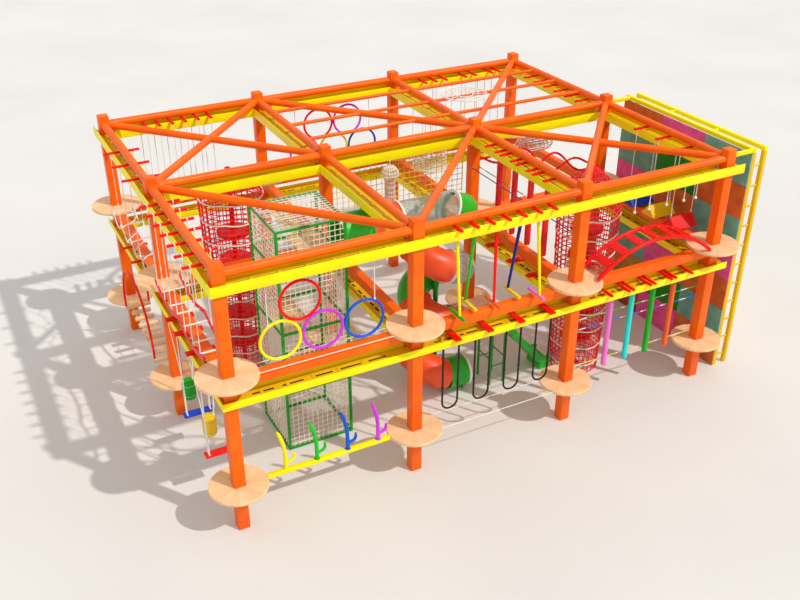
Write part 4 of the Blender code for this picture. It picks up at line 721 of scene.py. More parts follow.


# the ochre is a darker copy of the yellow; on the track webs and hangers it is painted shade under the flanges
ORANGE, YELLOW, OCHRE, RED, GREEN, MAGENTA, BLUE, NAVY, LEAF = family(
    PowderCoat, "powder-coated steel", "orange #F85E00 #FF7200", "yellow #F8E600 #FFF400", "ochre #E0B400 #F0C800",
    "red #EC0400 #FF0C04", "green #14901A #22A828", "magenta #C832D0 #E048EA", "blue #0A50C4 #1E64E0",
    "navy #0C1870 #1A2CA0", "leaf green #10B818 #2CD034")
# painted shade: a dark finish laid on the track webs and wall boards where the slot and the bolt holes are, standing in
# for the shade inside them
PAINTED_SHADE = PowderCoat("shaded slot in powder-coated steel", "#3C2C10", "#54401C", rough=(0.64, 0.78))
ZINC = Plated("zinc-plated steel", "#9A9C9E", "#C8CACC")
PINE = Timber("varnished pine", "#E6B074", "#FFDCAE")
RED_WOOD, YELLOW_WOOD, BLUE_WOOD, GREEN_WOOD, PINK_WOOD, CYAN_WOOD, ORANGE_WOOD = family(
    Timber, "stained wood", "red #DC0C04 #FA180C", "yellow #E8B800 #FFE000", "blue #0C2CA8 #1E50E0",
    "green #06900E #10C01C", "pink #E060C0 #FF88E0", "cyan #18C8C0 #30F0E8", "orange #E05014 #FF7028")
# for the ropes the darker tone is painted shade in the grooves between the strands
CREAM_ROPE, WHITE_ROPE, NAVY_ROPE, RED_ROPE, YELLOW_ROPE = family(
    Braid, "braided polyester rope", "cream #D2C6AC #FBF5E6", "white #CFCAC0 #FBF8F0", "navy #0A1450 #2038A0",
    "red #D80418 #FF1024", "yellow #C8A000 #FFE838")
DARK_ROPE = Braid("braided polyester rope black", "#0C0602", "#241206", sheen=0.0)
YELLOW_BAND, BLUE_BAND, GREEN_BAND = family(
    Braid, "banded polyester rope", "yellow #D0A800 #FFE020", "blue #1038B0 #2860E8", "green #0A8010 #20B828",
    band="#F4F0E0")
GREEN_TUBE, ORANGE_TUBE, WHITE_TUBE, RED_DRUM = family(
    Rotomoulded, "rotomoulded polyethylene", "green #14A418 #24C028", "orange #E84410 #FA5C1C",
    "white #E8E4DC #FFFCF4", "red #DC0408 #FA1814")
CLEAR_TUBE = ClearTube("clear polycarbonate", "#DDE6DE", "#F2F6F2")
RUST_PANEL, MAGENTA_PANEL, TEAL_PANEL, GREEN_PANEL, OCHRE_PANEL, BROWN_PANEL = family(
    GritPanel, "textured climbing panel", "rust #BC5814 #D8742C", "magenta #DC4894 #F064B0", "teal #5C9C8C #78B8A8",
    "green #0A7C04 #189018", "ochre #A47420 #C08C3C", "brown #984010 #B45824")
FLOOR = PowderCoat("pale studio floor", "#DEDAD5", "#E5E1DB", Texture(Pattern.NOISE, 6000.0, 3.0),
                   rough=(0.84, 0.98))


# Pieces


class Body(Enum):
    """Bodies that hold more than one piece."""

    COURSE = "course"
    FRONT_HOOPS = "front_hoops"
    REAR_HOOPS = "rear_hoops"
    LANYARDS = "belay_lanyards"


class Piece:
    """One visible piece: shells in their finishes, made into a single mesh object on its body."""

    def __init__(self, name: str, body: str = Body.COURSE.value) -> None:
        """Starts an empty piece that will ride on the named body."""
        self.name, self.body = name, body
        self.parts: list[tuple[Shell, Finish]] = []

    def add(self, finish: Finish, *shells: Shell) -> "Piece":
        """Adds shells in one finish, given in metres from the first post's axis."""
        self.parts += [(shell, finish) for shell in shells]
        return self

    def make(self, slot: str, *nodes: str, smooth: float = 40.0) -> bpy.types.Object:
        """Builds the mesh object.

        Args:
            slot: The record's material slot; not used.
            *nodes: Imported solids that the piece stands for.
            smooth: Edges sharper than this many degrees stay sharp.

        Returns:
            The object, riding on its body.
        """
        whole = join(*(shell for shell, _ in self.parts))
        finishes = list(dict.fromkeys(finish for _, finish in self.parts))
        slots = np.repeat([finishes.index(finish) for _, finish in self.parts],
                          [sum(map(len, shell.faces)) for shell, _ in self.parts])
        sizes = np.repeat([rows.shape[1] for rows in whole.faces], [len(rows) for rows in whole.faces])
        loops = np.concatenate([rows.ravel() for rows in whole.faces])
        ways = np.concatenate([rows.ravel() for rows in whole.ways])
        mesh = bpy.data.meshes.new(self.name)
        mesh.vertices.add(len(whole.points))
        mesh.vertices.foreach_set("co", (whole.points + ORIGIN).astype(np.float32).ravel())
        mesh.loops.add(len(loops))
        mesh.loops.foreach_set("vertex_index", loops.astype(np.int32))
        mesh.polygons.add(len(sizes))
        mesh.polygons.foreach_set("loop_start", (np.cumsum(sizes) - sizes).astype(np.int32))
        for finish in finishes:
            mesh.materials.append(finish.material())
        mesh.polygons.foreach_set("material_index", slots.astype(np.int32))
        mesh.update(calc_edges=True)
        mesh.uv_layers.new(name="way").uv.foreach_set("vector", ways.astype(np.float32))
        mesh.attributes.new("tone", "FLOAT", "POINT").data.foreach_set("value", whole.tones.astype(np.float32))
        mesh.shade_smooth()
        mesh.set_sharp_from_angle(angle=math.radians(smooth))
        made = bpy.data.objects.new(self.name, mesh)
        bpy.context.scene.collection.objects.link(made)
        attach(made, self.body)
        if nodes:
            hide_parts(*nodes)
        LOG.info("%s: %d faces on %s", self.name, len(sizes), self.body)
        return made


# Sub-assemblies, in metres from the first post's axis


def shackles(tips: Array, radius: float = 0.022) -> Shell:
    """Bow shackles: a rod bent to (0.62 r cos a, 0, -r (1.15 + 0.62 sin a)) under each tip, with its pin across.

    Args:
        tips: Where the shackles hang from.
        radius: Size r of a shackle.

    Returns:
        One shell with every shackle.
    """
    angle, tips = np.linspace(-0.35, np.pi + 0.35, 9), np.atleast_2d(tips)
    bow = at(radius * 0.62 * np.cos(angle), 0, -radius * (1.15 + 0.62 * np.sin(angle)))
    return join(rod(tips[:, None] + bow, radius * 0.2, 6, Y_AXIS),
                spread(tips - (0, 0, radius * 0.55), (radius * 0.9, 0, 0), circle(radius * 0.22, 6)))


def points(*rows: Sequence[float]) -> Array:
    """Points given one by one."""
    return np.array(rows, dtype=float)


def rings(centre: Sequence[float], radius: ArrayLike, z: ArrayLike, count: int) -> Array:
    """Level rings of points round an upright axis: (x + r cos a, y + r sin a, z) for each radius r and level z."""
    way, radius, z = circle(1.0, count), np.reshape(radius, (-1, 1)), np.reshape(z, (-1, 1))
    return at(centre[0] + radius * way[:, 0], centre[1] + radius * way[:, 1], z)


def arc_line(half_chord: float, rise: float, count: int) -> Array:
    """Arc over a chord: (radius sin a, radius cos a - radius + rise), radius = (chord^2 + rise^2) / (2 rise).

    Args:
        half_chord: Half the chord.
        rise: Height of the arc over the chord.
        count: Number of points.

    Returns:
        Points as (along, up) from the chord's middle.
    """
    radius = (half_chord ** 2 + rise ** 2) / (2 * rise)
    reach = math.asin(half_chord / radius)
    angle = np.linspace(-1, 1, count) * (math.pi - reach if rise > half_chord else reach)
    return np.stack((radius * np.sin(angle), radius * np.cos(angle) - radius + rise), axis=1)


def tightropes(bay: int, half: float, z: float) -> Shell:
    """Two taut ropes between two platforms of the front row.

    Args:
        bay: Number of the bay, from 0.
        half: Half the distance between the ropes.
        z: Their level.

    Returns:
        The ropes.
    """
    reach = PLAN.rim(half) - PLAN.gap - 0.03
    starts, ends = (at(x, (-half, half), z) for x in (bay * PLAN.bay_x + reach, (bay + 1) * PLAN.bay_x - reach))
    return rod(between(starts, ends, 13), 0.009)


@dataclass(frozen=True)
class PostFrame:
    """Orange posts, roof tubes, braces and joists, with the lower platforms."""

    tube_r: float = 0.09
    brace_r: float = 0.085
    joist_r: float = 0.045
    joists: int = 3
    plate: float = 0.012
    arm: float = 0.42
    front_braces: tuple = (((0, 1), (1, 0)), ((2, 1), (1, 0)), ((2, 1), (3, 0)), ((3, 1), (2, 0)))
    rear_braces: tuple = (((0, 2), (1, 1)), ((0, 1), (1, 2)), ((1, 2), (2, 1)), ((2, 1), (3, 2)))

    def post(self, x: float, y: float) -> Shell:
        """One post: a rounded square section, drawn in at the foot and the cap."""
        z = (0.0, 0.006, PLAN.post_top - 0.03, PLAN.post_top - 0.008, PLAN.post_top)
        return carry(at(x, y, z), oblong(PLAN.post, PLAN.post, 0.018, 3), Y_AXIS, (0.97, 1.0, 1.0, 0.97, 0.86))

    def span(self, a: tuple[int, int], b: tuple[int, int], radius: float) -> Shell:
        """A roof tube between two posts with a round end plate and a weld bead at each end.

        Args:
            a: Column and row of the first post.
            b: Column and row of the second post.
            radius: The tube's radius.

        Returns:
            The tube and its plates.
        """
        start, end = (at(i * PLAN.bay_x, j * PLAN.bay_y, PLAN.roof_z) for i, j in (a, b))
        way = unit(end - start)
        cut = way * PLAN.face / np.abs(way).max()
        start, end, plate = start + cut, end - cut, way * self.plate
        bead = radius + np.array((0.012, 0.010, 0.003, 0.0))
        steps = (self.plate + np.array((0.0, 0.004, 0.012, 0.020)))[:, None] * way
        return join(rod(np.concatenate((start + steps, end - steps[::-1])), 1.0, 20,
                        scale=np.append(bead, bead[::-1])),
                    beams(np.stack((start, end - plate)), plate, circle(radius * 1.28, 20), 0.003))

    def brackets(self, x: float, y: float, z: float) -> list[Shell]:
        """Four flat brackets under a platform, each with its plate on the post.

        Args:
            x: The post's place.
            y: The post's place.
            z: Underside of the platform.

        Returns:
            The brackets and the plates.
        """
        ways = np.array((X_AXIS, Y_AXIS, (-1, 0, 0), (0, -1, 0)))
        middle, half = at(x, y, z - 0.012), PLAN.face + 0.003
        return [bars(middle + ways * half, middle + ways * self.arm, oblong(0.05, 0.014, 0.003), 0.003),
                beams(middle + ways * (half + 0.004) - (0, 0, 0.10), (0, 0, 0.10), oblong(0.05, 0.008, 0.002))]

    def build(self) -> None:
        """Three portals and the two roof strips between them."""
        for row, name in enumerate(("front_portal", "middle_portal", "rear_portal")):
            spots = PLAN.grid(0)[:, row, :2]
            piece = Piece(name + "_frame")
            piece.add(ORANGE, *(self.post(*spot) for spot in spots),
                      *(self.span((i, row), (i + 1, row), self.tube_r) for i in range(PLAN.columns - 1)))
            piece.add(PINE, *(wedge_disc(spot, PLAN.low_deck) for spot in spots))
            for spot in spots:
                piece.add(ZINC, *self.brackets(*spot, PLAN.low_deck - PLAN.deck_t))
            if row == 0:
                piece.add(WHITE_ROPE, tightropes(1, 0.27, PLAN.low_deck - PLAN.deck_t / 2))
            piece.make("orange_steel", name)
        for row, name, braces in ((0, "front_bracing", self.front_braces), (1, "rear_bracing", self.rear_braces)):
            piece = Piece(name + "_tubes")
            piece.add(ORANGE, *(self.span((i, row), (i, row + 1), self.tube_r) for i in range(PLAN.columns)),
                      *(self.span(a, b, self.brace_r) for a, b in braces))
            if row == 1:
                xs = np.array((1, 2))[:, None] * PLAN.bay_x + self.tube_r * 0.8
                ys = PLAN.bay_y * (1 + np.arange(1, self.joists + 1) / (self.joists + 1))
                piece.add(ORANGE, beams(at(xs, ys, PLAN.roof_z).reshape(-1, 3), (PLAN.bay_x - 1.6 * self.tube_r, 0, 0),
                                        circle(self.joist_r, 14)))
            piece.make("orange_steel", name)


@dataclass(frozen=True)
class UpperDeck:
    """Orange beams under the upper storey, its wooden platforms and its tightropes."""

    beam_w: float = 0.20
    beam_h: float = 0.23
    cover: float = 0.012

    def build(self) -> None:
        """Beams on every run with a cover plate at each end, platforms round every post and the ropes."""
        starts, ends, way = PLAN.runs(PLAN.high_deck - PLAN.deck_t - self.beam_h / 2)
        starts, ends = starts + way * (PLAN.face + 0.002), ends - way * (PLAN.face + 0.002)
        plate = oblong(self.beam_w + 0.03, self.beam_h - 0.004)
        piece = Piece("upper_deck_floors")
        piece.add(ORANGE, bars(starts, ends, oblong(self.beam_w, self.beam_h, 0.02, 3), 0.004),
                  beams(starts, way * self.cover, plate), bars(ends - way * self.cover, ends, plate))
        piece.add(PINE, *(wedge_disc(spot, PLAN.high_deck) for spot in PLAN.grid(0).reshape(-1, 3)))
        piece.add(WHITE_ROPE, tightropes(0, 0.17, PLAN.high_deck - PLAN.deck_t / 2))
        piece.make("orange_steel", "upper_deck")


def spaced(first: float, pitch: float, count: int) -> Array:
    """Evenly spaced places from a first one."""
    return first + pitch * np.arange(count)


FRONT_BARS = spaced(4.85, 0.375, 7)
LADDER_BARS = spaced(0.72, 0.50, 7)
TRAPEZE_BARS = spaced(5.25, 0.90, 3)
REAR_LEFT_BARS = spaced(0.95, 0.33, 6)
REAR_RIGHT_BARS = np.array((8.86, 9.19, 9.52, 10.16, 10.49, 11.04, 11.30))
END_REAR_BARS = spaced(5.15, 0.48, 7)
LOWER_LEFT_REAR_BARS = spaced(5.45, 0.85, 3)
PLANK_PADS = np.array((1.38, 2.20, 3.15))
PRISM_YS = np.array((1.15, 1.93, 2.72))
STEP_YS = np.array((1.10, 1.80, 2.65, 3.30))
LOOP_XS = spaced(4.87, 0.79, 4)
LOG_XS = spaced(9.10, 0.62, 4)
BAG_X = 2 * PLAN.bay_x
BAG_YS = spaced(1.25, 0.65, 4)
BAR_HALF, LONG_BAR_HALF, BAR_T, BAR_W, PAD_W = 0.31, 0.42, 0.042, 0.07, 0.15


def crossbars(x: ArrayLike, y: ArrayLike, across: Sequence[float], top: float, half: float = BAR_HALF,
              width: float = BAR_W) -> Shell:
    """Square bars round the given places that lie across a track, on its flanges at the level top."""
    return spread(at(x, y, top + BAR_T / 2), half * np.array(across), oblong(width, BAR_T), 0.004)


@dataclass(frozen=True)
class BeltTrack:
    """One belay track: a web with its slot drawn as a dark line of painted shade, an upright flange each side, and
    hanger plates along it.
    """

    top: float
    depth: float
    dashed: bool
    line_t: float = 0.0012
    dash_pitch: float = 0.62

    def flanges(self) -> list[Shell]:
        """Flange walls round each roof cell and along the outside, with the two ends that stick out.

        Returns:
            A shell for each cell and one for the outside.
        """
        half, lap, z = PLAN.track_half, PLAN.track_plate / 2, self.top - self.depth / 2
        edge, over, profile = half - lap, PLAN.track_overhang, oblong(PLAN.track_plate, self.depth, 0.004)
        shells = []
        for x, y, _ in PLAN.grid(z)[:-1, :-1].reshape(-1, 3):
            x_a, x_b, y_a, y_b = x + edge, x + PLAN.bay_x - edge, y + edge, y + PLAN.bay_y - edge
            shells.append(bars(at((x_a - lap, x_a - lap, x_a, x_b), (y_a, y_b, y_a + lap, y_a + lap), z),
                               at((x_b + lap, x_b + lap, x_a, x_b), (y_a, y_b, y_b - lap, y_b - lap), z), profile))
        x_b, y_b, x_c, y_c = PLAN.length + edge, PLAN.depth + edge, PLAN.length + over, PLAN.depth + over
        starts = at((-half, -edge, edge - lap, x_b, x_b + lap, edge),
                    (-edge, lap - edge, y_b, edge - lap, edge, y_b + lap), z)
        ends = at((x_c, -edge, x_b + lap, x_b, x_c, edge), (-edge, y_c, y_b, y_b - lap, edge, y_c), z)
        return [*shells, bars(starts, ends, profile, 0.002)]

    def web(self) -> tuple[Shell, Shell]:
        """Web plates on every run and, on both faces of each, a thin dark line of painted shade where its slot is.

        Returns:
            The plates and the slot lines of painted shade.
        """
        plate, side, corner = PLAN.track_plate, PLAN.track_half - PLAN.track_plate, PLAN.face + 0.002
        z, over = self.top - self.depth / 2, PLAN.track_overhang - 0.002
        starts, ends, way = PLAN.runs(z)
        plates = [bars(starts + way * PLAN.face, ends - way * PLAN.face, oblong(2 * side, plate, 0.003, 1))]
        for s in SIDES:
            for axis, thin in ((0, 0.98), (1, 0.96)):
                middle = PLAN.grid(z).reshape(-1, 3) + s * (corner + side) / 2 * np.eye(3)[axis]
                plates.append(spread(middle, side * np.eye(3)[1 - axis],
                                     oblong(side - corner, plate * thin, 0.003, 1)))
        plates.append(bars(at((PLAN.length + corner, 0), (0, PLAN.depth + corner), z),
                           at((PLAN.length + over, 0), (0, PLAN.depth + over), z), oblong(2 * side,
                                                                                          plate * 0.94, 0.003, 1)))
        # the slot is a thin dark line of painted shade on both faces of the web, in dashes on the lower track
        first, last = starts + way * 0.30, ends - way * 0.30
        if self.dashed:
            count = np.floor((np.linalg.norm(ends - starts, axis=1) - 0.7) / self.dash_pitch).astype(int)
            owner = np.repeat(np.arange(len(starts)), count)
            place = np.concatenate([np.arange(n) for n in count]) * self.dash_pitch + 0.45
            first = starts[owner] + way[owner] * place[:, None]
            last = first + way[owner] * (self.dash_pitch * 0.72)
        line, lift = oblong(0.05 if self.dashed else 0.022, self.line_t, 0.0005, 1), plate / 2 + self.line_t / 4
        return join(*plates), join(*(bars(first + (0, 0, s * lift), last + (0, 0, s * lift), line) for s in SIDES))

    def hangers(self) -> Shell:
        """Small plates that clip the web at even steps along each run.

        Returns:
            The plates.
        """
        starts, ends, way = PLAN.runs(self.top - self.depth / 2 + 0.016)
        middle = (np.linspace(0.16, 0.84, 6)[:, None, None] * (ends - starts) + starts).reshape(-1, 3)
        across = np.tile(np.cross(Z_AXIS, way), (6, 1))
        return spread(middle, across * 0.09, oblong(0.07, 0.012, 0.003, 1), 0.003)


@dataclass(frozen=True)
class Tracks:
    """Both belay tracks with the red bars bolted across them, and the laced rope bridge under one of them."""

    lace_x: float = 0.26
    lace_z: float = 3.90
    lace_sag: float = 0.24
    lace_r: float = 0.013
    laces: int = 8

    def upper_bars(self) -> Shell:
        """Every red bar on the upper track that isn't part of a hung bridge.

        Returns:
            One shell with every bar.
        """
        top, bag_ys = PLAN.high_track, (BAG_YS[:, None] + (-0.21, 0.21)).ravel()
        return join(crossbars(FRONT_BARS, 0, Y_AXIS, top), crossbars(0, TRAPEZE_BARS, X_AXIS, top, LONG_BAR_HALF),
                    crossbars(PLAN.length, np.append(PRISM_YS, END_REAR_BARS), X_AXIS, top, LONG_BAR_HALF),
                    crossbars(BAG_X, bag_ys, X_AXIS, top))

    def lower_bars(self) -> Shell:
        """Every red bar and pad on the lower track.

        Returns:
            One shell with every bar.
        """
        top, log_xs = PLAN.low_track, (LOG_XS[:, None] + (-0.245, 0.245)).ravel()
        return join(crossbars(LOOP_XS, 0, Y_AXIS, top, width=PAD_W), crossbars(log_xs, 0, Y_AXIS, top),
                    crossbars(0, STEP_YS, X_AXIS, top, width=PAD_W), crossbars(0, LOWER_LEFT_REAR_BARS, X_AXIS, top),
                    crossbars(BAG_X, PLANK_PADS, X_AXIS, top, width=PAD_W))

    def hung_ropes(self) -> tuple[Shell, Shell]:
        """Ropes from the bars at the left end's rear bay down to the two slack side ropes of the laced bridge.

        The side ropes are highest under each bar.

        Returns:
            The ropes, and the shackles.
        """
        tips = at(np.repeat((-self.lace_x, self.lace_x), 3), np.tile(TRAPEZE_BARS, 2), PLAN.high_track)
        feet = tips * (1, 1, 0) + (0, 0, self.lace_z)
        ys = np.linspace(PLAN.bay_y + PLAN.deck_r + 0.02, PLAN.depth - PLAN.deck_r - 0.02, 41)
        sides = np.stack([self.to_rims(at(s * self.lace_x, ys, self.lace_level(ys))) for s in SIDES])
        return (join(rod(between(tips - (0, 0, EYE), feet, 5), 0.009), rod(sides, 0.012, 8, Z_AXIS),
                     beads(feet, 0.022, 8)),
                shackles(tips))

    def to_rims(self, line: Array) -> Array:
        """The line with a point more at each end, on the rim of the platform next to it."""
        y, z = np.array((PLAN.bay_y, PLAN.depth)) + PLAN.rim(self.lace_x) * np.array((1,
                                                                                      -1)), PLAN.high_deck - PLAN.deck_t / 2
        return np.concatenate((at(line[:1, 0], y[0], z), line, at(line[-1:, 0], y[1], z)))

    def lace_level(self, ys: Array) -> Array:
        """Height of the laced bridge's side ropes: level - sag sin^2(pi (y - first) / pitch)."""
        pitch = TRAPEZE_BARS[1] - TRAPEZE_BARS[0]
        return self.lace_z - self.lace_sag * np.sin(np.pi * (ys - TRAPEZE_BARS[0]) / pitch) ** 2

    def lacing(self) -> None:
        """One slack rope laced to and fro between the side ropes: x = -reach cos(pi turns t)."""
        t = np.linspace(0, 1, 10 * self.laces + 1)
        ys = PLAN.bay_y + PLAN.deck_r + 0.06 + (PLAN.bay_y - 2 * PLAN.deck_r - 0.12) * t
        path = self.to_rims(at(-self.lace_x * np.cos(np.pi * self.laces * t), ys, self.lace_level(ys) - 0.016))
        made = Piece("laced_bridge_rope").add(WHITE_ROPE, rod(path, self.lace_r, 8, Z_AXIS)).make("cream_rope")
        world, length = (path + ORIGIN).tolist(), float(run_of(path)[-1])

    def build(self) -> None:
        """The two tracks, each as one piece, and the lacing."""
        ropes, links = self.hung_ropes()
        for track, node, cross in ((BeltTrack(PLAN.high_track, PLAN.high_depth, False), "upper_track",
                                    self.upper_bars()),
                                   (BeltTrack(PLAN.low_track, PLAN.low_depth, True), "lower_track",
                                    self.lower_bars())):
            plates, cuts = track.web()
            piece = Piece(node + "_rails")
            # the ochre web plates and hangers are painted shade under the yellow flanges
            piece.add(YELLOW, *track.flanges()).add(OCHRE, plates, track.hangers()).add(PAINTED_SHADE, cuts).add(RED, cross)
            if node == "upper_track":
                piece.add(WHITE_ROPE, ropes).add(ZINC, links)
            piece.make("yellow_steel", node)
        self.lacing()


@dataclass(frozen=True)
class BalanceBeam:
    """Beam between the two lower platforms of the first bay, with branch handles standing on it."""

    width: float = 0.11
    height: float = 0.09
    handles: tuple[float, ...] = (1.02, 1.71, 2.41, 3.12)
    rise: float = 0.98
    lean: float = 0.14
    reach: float = 0.19
    rod_r: float = 0.042

    def build(self) -> None:
        """The beam and each handle's stem, arm, knobs and foot flange."""
        top, start, t = PLAN.low_deck, PLAN.deck_r + PLAN.gap, np.linspace(0, 1, 15)
        piece = Piece("balance_beam_and_handles")
        piece.add(YELLOW, beams(at(start, 0, top - self.height / 2), (PLAN.bay_x - 2 * start, 0, 0),
                                oblong(self.width, self.height, 0.012, 3), 0.004))
        for x, finish in zip(self.handles, (YELLOW, LEAF, BLUE, MAGENTA)):
            stem = at(x - self.lean * np.clip((t - 0.3) / 0.7, 0, 1) ** 2, 0, top + self.rise * t)
            branch = at((x, x + self.reach, x + self.reach), 0, top + self.rise * np.array((0.14, 0.20, 0.36)))
            arm = smooth_path(branch, 0.09, 8)
            piece.add(finish, rod(stem, self.rod_r, 14, Y_AXIS, np.append(np.ones(13), (0.85, 0.45))),
                      rod(arm, self.rod_r, 14, Y_AXIS, np.append(np.full(len(arm) - 1, 0.8), 0.5)),
                      beams(at(x, 0, top), (0, 0, 0.012), circle(self.rod_r * 1.5, 16), 0.003))
        piece.make("yellow_steel", "balance_beam")


@dataclass(frozen=True)
class GuideRopes:
    """Taut banded ropes with the flat straps that hold them to the posts."""

    offset: float = 0.10
    zs: tuple[float, ...] = (1.30, 2.29, 2.56)
    hand_z: float = 4.85
    rope_r: float = 0.012
    strap_w: float = 0.06
    strap_t: float = 0.006

    def build(self) -> None:
        """Three ropes behind the hanging logs and two beside the hanging posts."""
        x_a, x_b, half = BAG_X + PLAN.face, BAG_X + PLAN.bay_x - PLAN.face, self.strap_t / 2
        piece = Piece("log_guide_ropes")
        for z, finish in zip(self.zs, (YELLOW_BAND, BLUE_BAND, GREEN_BAND)):
            piece.add(finish, rod(between((x_a, self.offset, z), (x_b, self.offset, z), 13), self.rope_r))
        straps = at((x_a + half, x_b - half), self.offset, self.zs[0] - self.strap_w)
        knots = at(np.repeat((x_a + 0.02, x_b - 0.02), 3), self.offset, np.tile(self.zs, 2))
        piece.add(ORANGE, beams(straps, (0, 0, self.zs[-1] - self.zs[0] + 2 * self.strap_w),
                                oblong(self.strap_w, self.strap_t, 0.002), ref=X_AXIS))
        piece.add(ZINC, beads(knots, 0.018)).make("yellow_rope", "log_ropes")
        y_a, y_b, z = PLAN.face, PLAN.bay_y - PLAN.face, self.hand_z
        piece = Piece("post_hand_ropes")
        for x, finish in ((BAG_X - self.offset, NAVY_ROPE), (BAG_X + self.offset, GREEN_BAND)):
            piece.add(finish, rod(between((x, y_a, z), (x, y_b, z), 13), self.rope_r))
        piece.add(ORANGE, spread(at(BAG_X, (y_a + half, y_b - half), z), (self.offset + self.strap_w / 2, 0, 0),
                                 oblong(self.strap_t, self.strap_w, 0.002)))
        piece.make("navy_rope", "hand_ropes")


@dataclass(frozen=True)
class ArchBridge:
    """Two bent rails that stand on the upper platforms, with slats between them."""

    half_width: float = 0.30
    rail_r: float = 0.045
    rise: float = 0.65
    half_chord: float = 1.62
    slats: int = 7
    slat_w: float = 0.20
    slat_t: float = 0.035

    def build(self) -> None:
        """Rails, and slats laid along the arc with a bolt at each end."""
        centre, base = 2.5 * PLAN.bay_x, PLAN.high_deck + PLAN.gap + self.rail_r * 0.8
        fine, coarse = (arc_line(self.half_chord, self.rise, count) for count in (41, 2 * self.slats + 3))
        spot = at(centre + coarse[2:-2:2, 0], 0, base + coarse[2:-2:2, 1])
        run = unit(coarse[3:-1:2] - coarse[1:-3:2]) * self.slat_w / 2
        piece = Piece("arch_bridge_rails")
        for y in (-self.half_width, self.half_width):
            piece.add(RED, rod(at(centre + fine[:, 0], y, base + fine[:, 1]), self.rail_r, 14, Y_AXIS))
        piece.add(RED_WOOD, spread(spot, at(run[:, 0], 0, run[:, 1]),
                                   oblong(2 * self.half_width + 0.04, self.slat_t, 0.008, 3), 0.004, Z_AXIS))
        bolts = [spot + (0, s * (self.half_width - 0.07), self.slat_t / 2 + 0.004) for s in SIDES]
        piece.add(ZINC, beads(np.concatenate(bolts), 0.011, 8)).make("red_steel", "arch_bridge")


@dataclass(frozen=True)
class PlankBridge:
    """Cross logs on two cables between two lower platforms, with a hooped rail each side."""

    count: int = 9
    log_r: float = 0.06
    half: float = 0.24
    cable_x: float = 0.15
    rail_x: float = 0.30
    rail_r: float = 0.028
    rail_rise: float = 1.60

    def build(self) -> None:
        """Logs with sawn ends, cables, and the rails' arcs standing on the end logs."""
        start, end, rim = PLAN.bay_y + PLAN.deck_r, PLAN.depth - PLAN.deck_r, PLAN.rim(self.cable_x)
        cable_z, middle = PLAN.low_deck - PLAN.deck_t / 2, (start + end) / 2
        z = cable_z + self.log_r * 0.8
        ys = start + (end - start) / self.count * (np.arange(self.count) + 0.5)
        half = np.full(self.count, self.half)
        half[[0, -1]] = self.rail_x + self.rail_r
        arc = arc_line(middle - ys[0], self.rail_rise - self.rail_r * 4, 33)
        piece = Piece("plank_bridge_logs").add(PINE,
                                               spread(at(0, ys, z), at(half, 0, 0), circle(self.log_r, 16), 0.006))
        for side in SIDES:
            x = side * self.cable_x
            piece.add(WHITE_ROPE, rod(between((x, PLAN.bay_y + rim, cable_z), (x, PLAN.depth - rim, cable_z), 9), PLAN.rope_r))
            line = at(side * self.rail_x, middle + arc[:, 0], z + self.rail_r * 4 + arc[:, 1])
            feet = line * (1, 1, 0) + (0, 0, z)
            piece.add(RED, rod(np.concatenate((feet[:1], line, feet[-1:])), self.rail_r, 12, X_AXIS))
        piece.make("pine_wood", "plank_bridge")


@dataclass(frozen=True)
class LadderBridge:
    """Ladder of two red bands in two swags, with white rungs, roped to the crossbars above."""

    band_x: float = 0.27
    band_h: float = 0.10
    band_t: float = 0.03
    end_z: float = 3.90
    sag: float = 0.18
    rungs: int = 6
    rung_r: float = 0.018
    steps: int = 12

    def build(self) -> None:
        """Bands, rungs, hanging ropes and the crossbars that hold them."""
        start, top = PLAN.deck_r * 0.75, PLAN.high_track + BAR_T / 2
        run = PLAN.bay_y - 2 * start
        ys = np.linspace(start, start + run, self.steps + 1)
        zs = self.end_z - self.sag * np.abs(np.sin(2 * np.pi * (ys - start) / run))
        rung_y = start + run * (np.arange(self.rungs) + 0.7) / (self.rungs + 0.4)
        piece = Piece("ladder_bridge_bands")
        for x in (-self.band_x, self.band_x):
            ropes = between(at(x, LADDER_BARS, np.interp(LADDER_BARS, ys, zs)), at(x, LADDER_BARS, top), 9)
            piece.add(RED_ROPE, carry(at(x, ys, zs), oblong(self.band_t, self.band_h, 0.008, 3), Z_AXIS))
            piece.add(WHITE_ROPE, rod(ropes, PLAN.rope_r))
        rungs = at(0, rung_y, np.interp(rung_y, ys, zs))
        tips = at(np.repeat((-self.band_x, self.band_x), 7), np.tile(LADDER_BARS, 2), top)
        piece.add(WHITE_TUBE, spread(rungs, (self.band_x, 0, 0), circle(self.rung_r, 12)))
        piece.add(RED, crossbars(0, LADDER_BARS, X_AXIS, PLAN.high_track + PLAN.gap, LONG_BAR_HALF))
        piece.add(WHITE_ROPE, spread(tips, (0.012, 0, 0), oblong(BAR_W + 0.02, BAR_T + 0.02, 0.008), 0.003))
        piece.make("red_rope", "ladder_bridge")


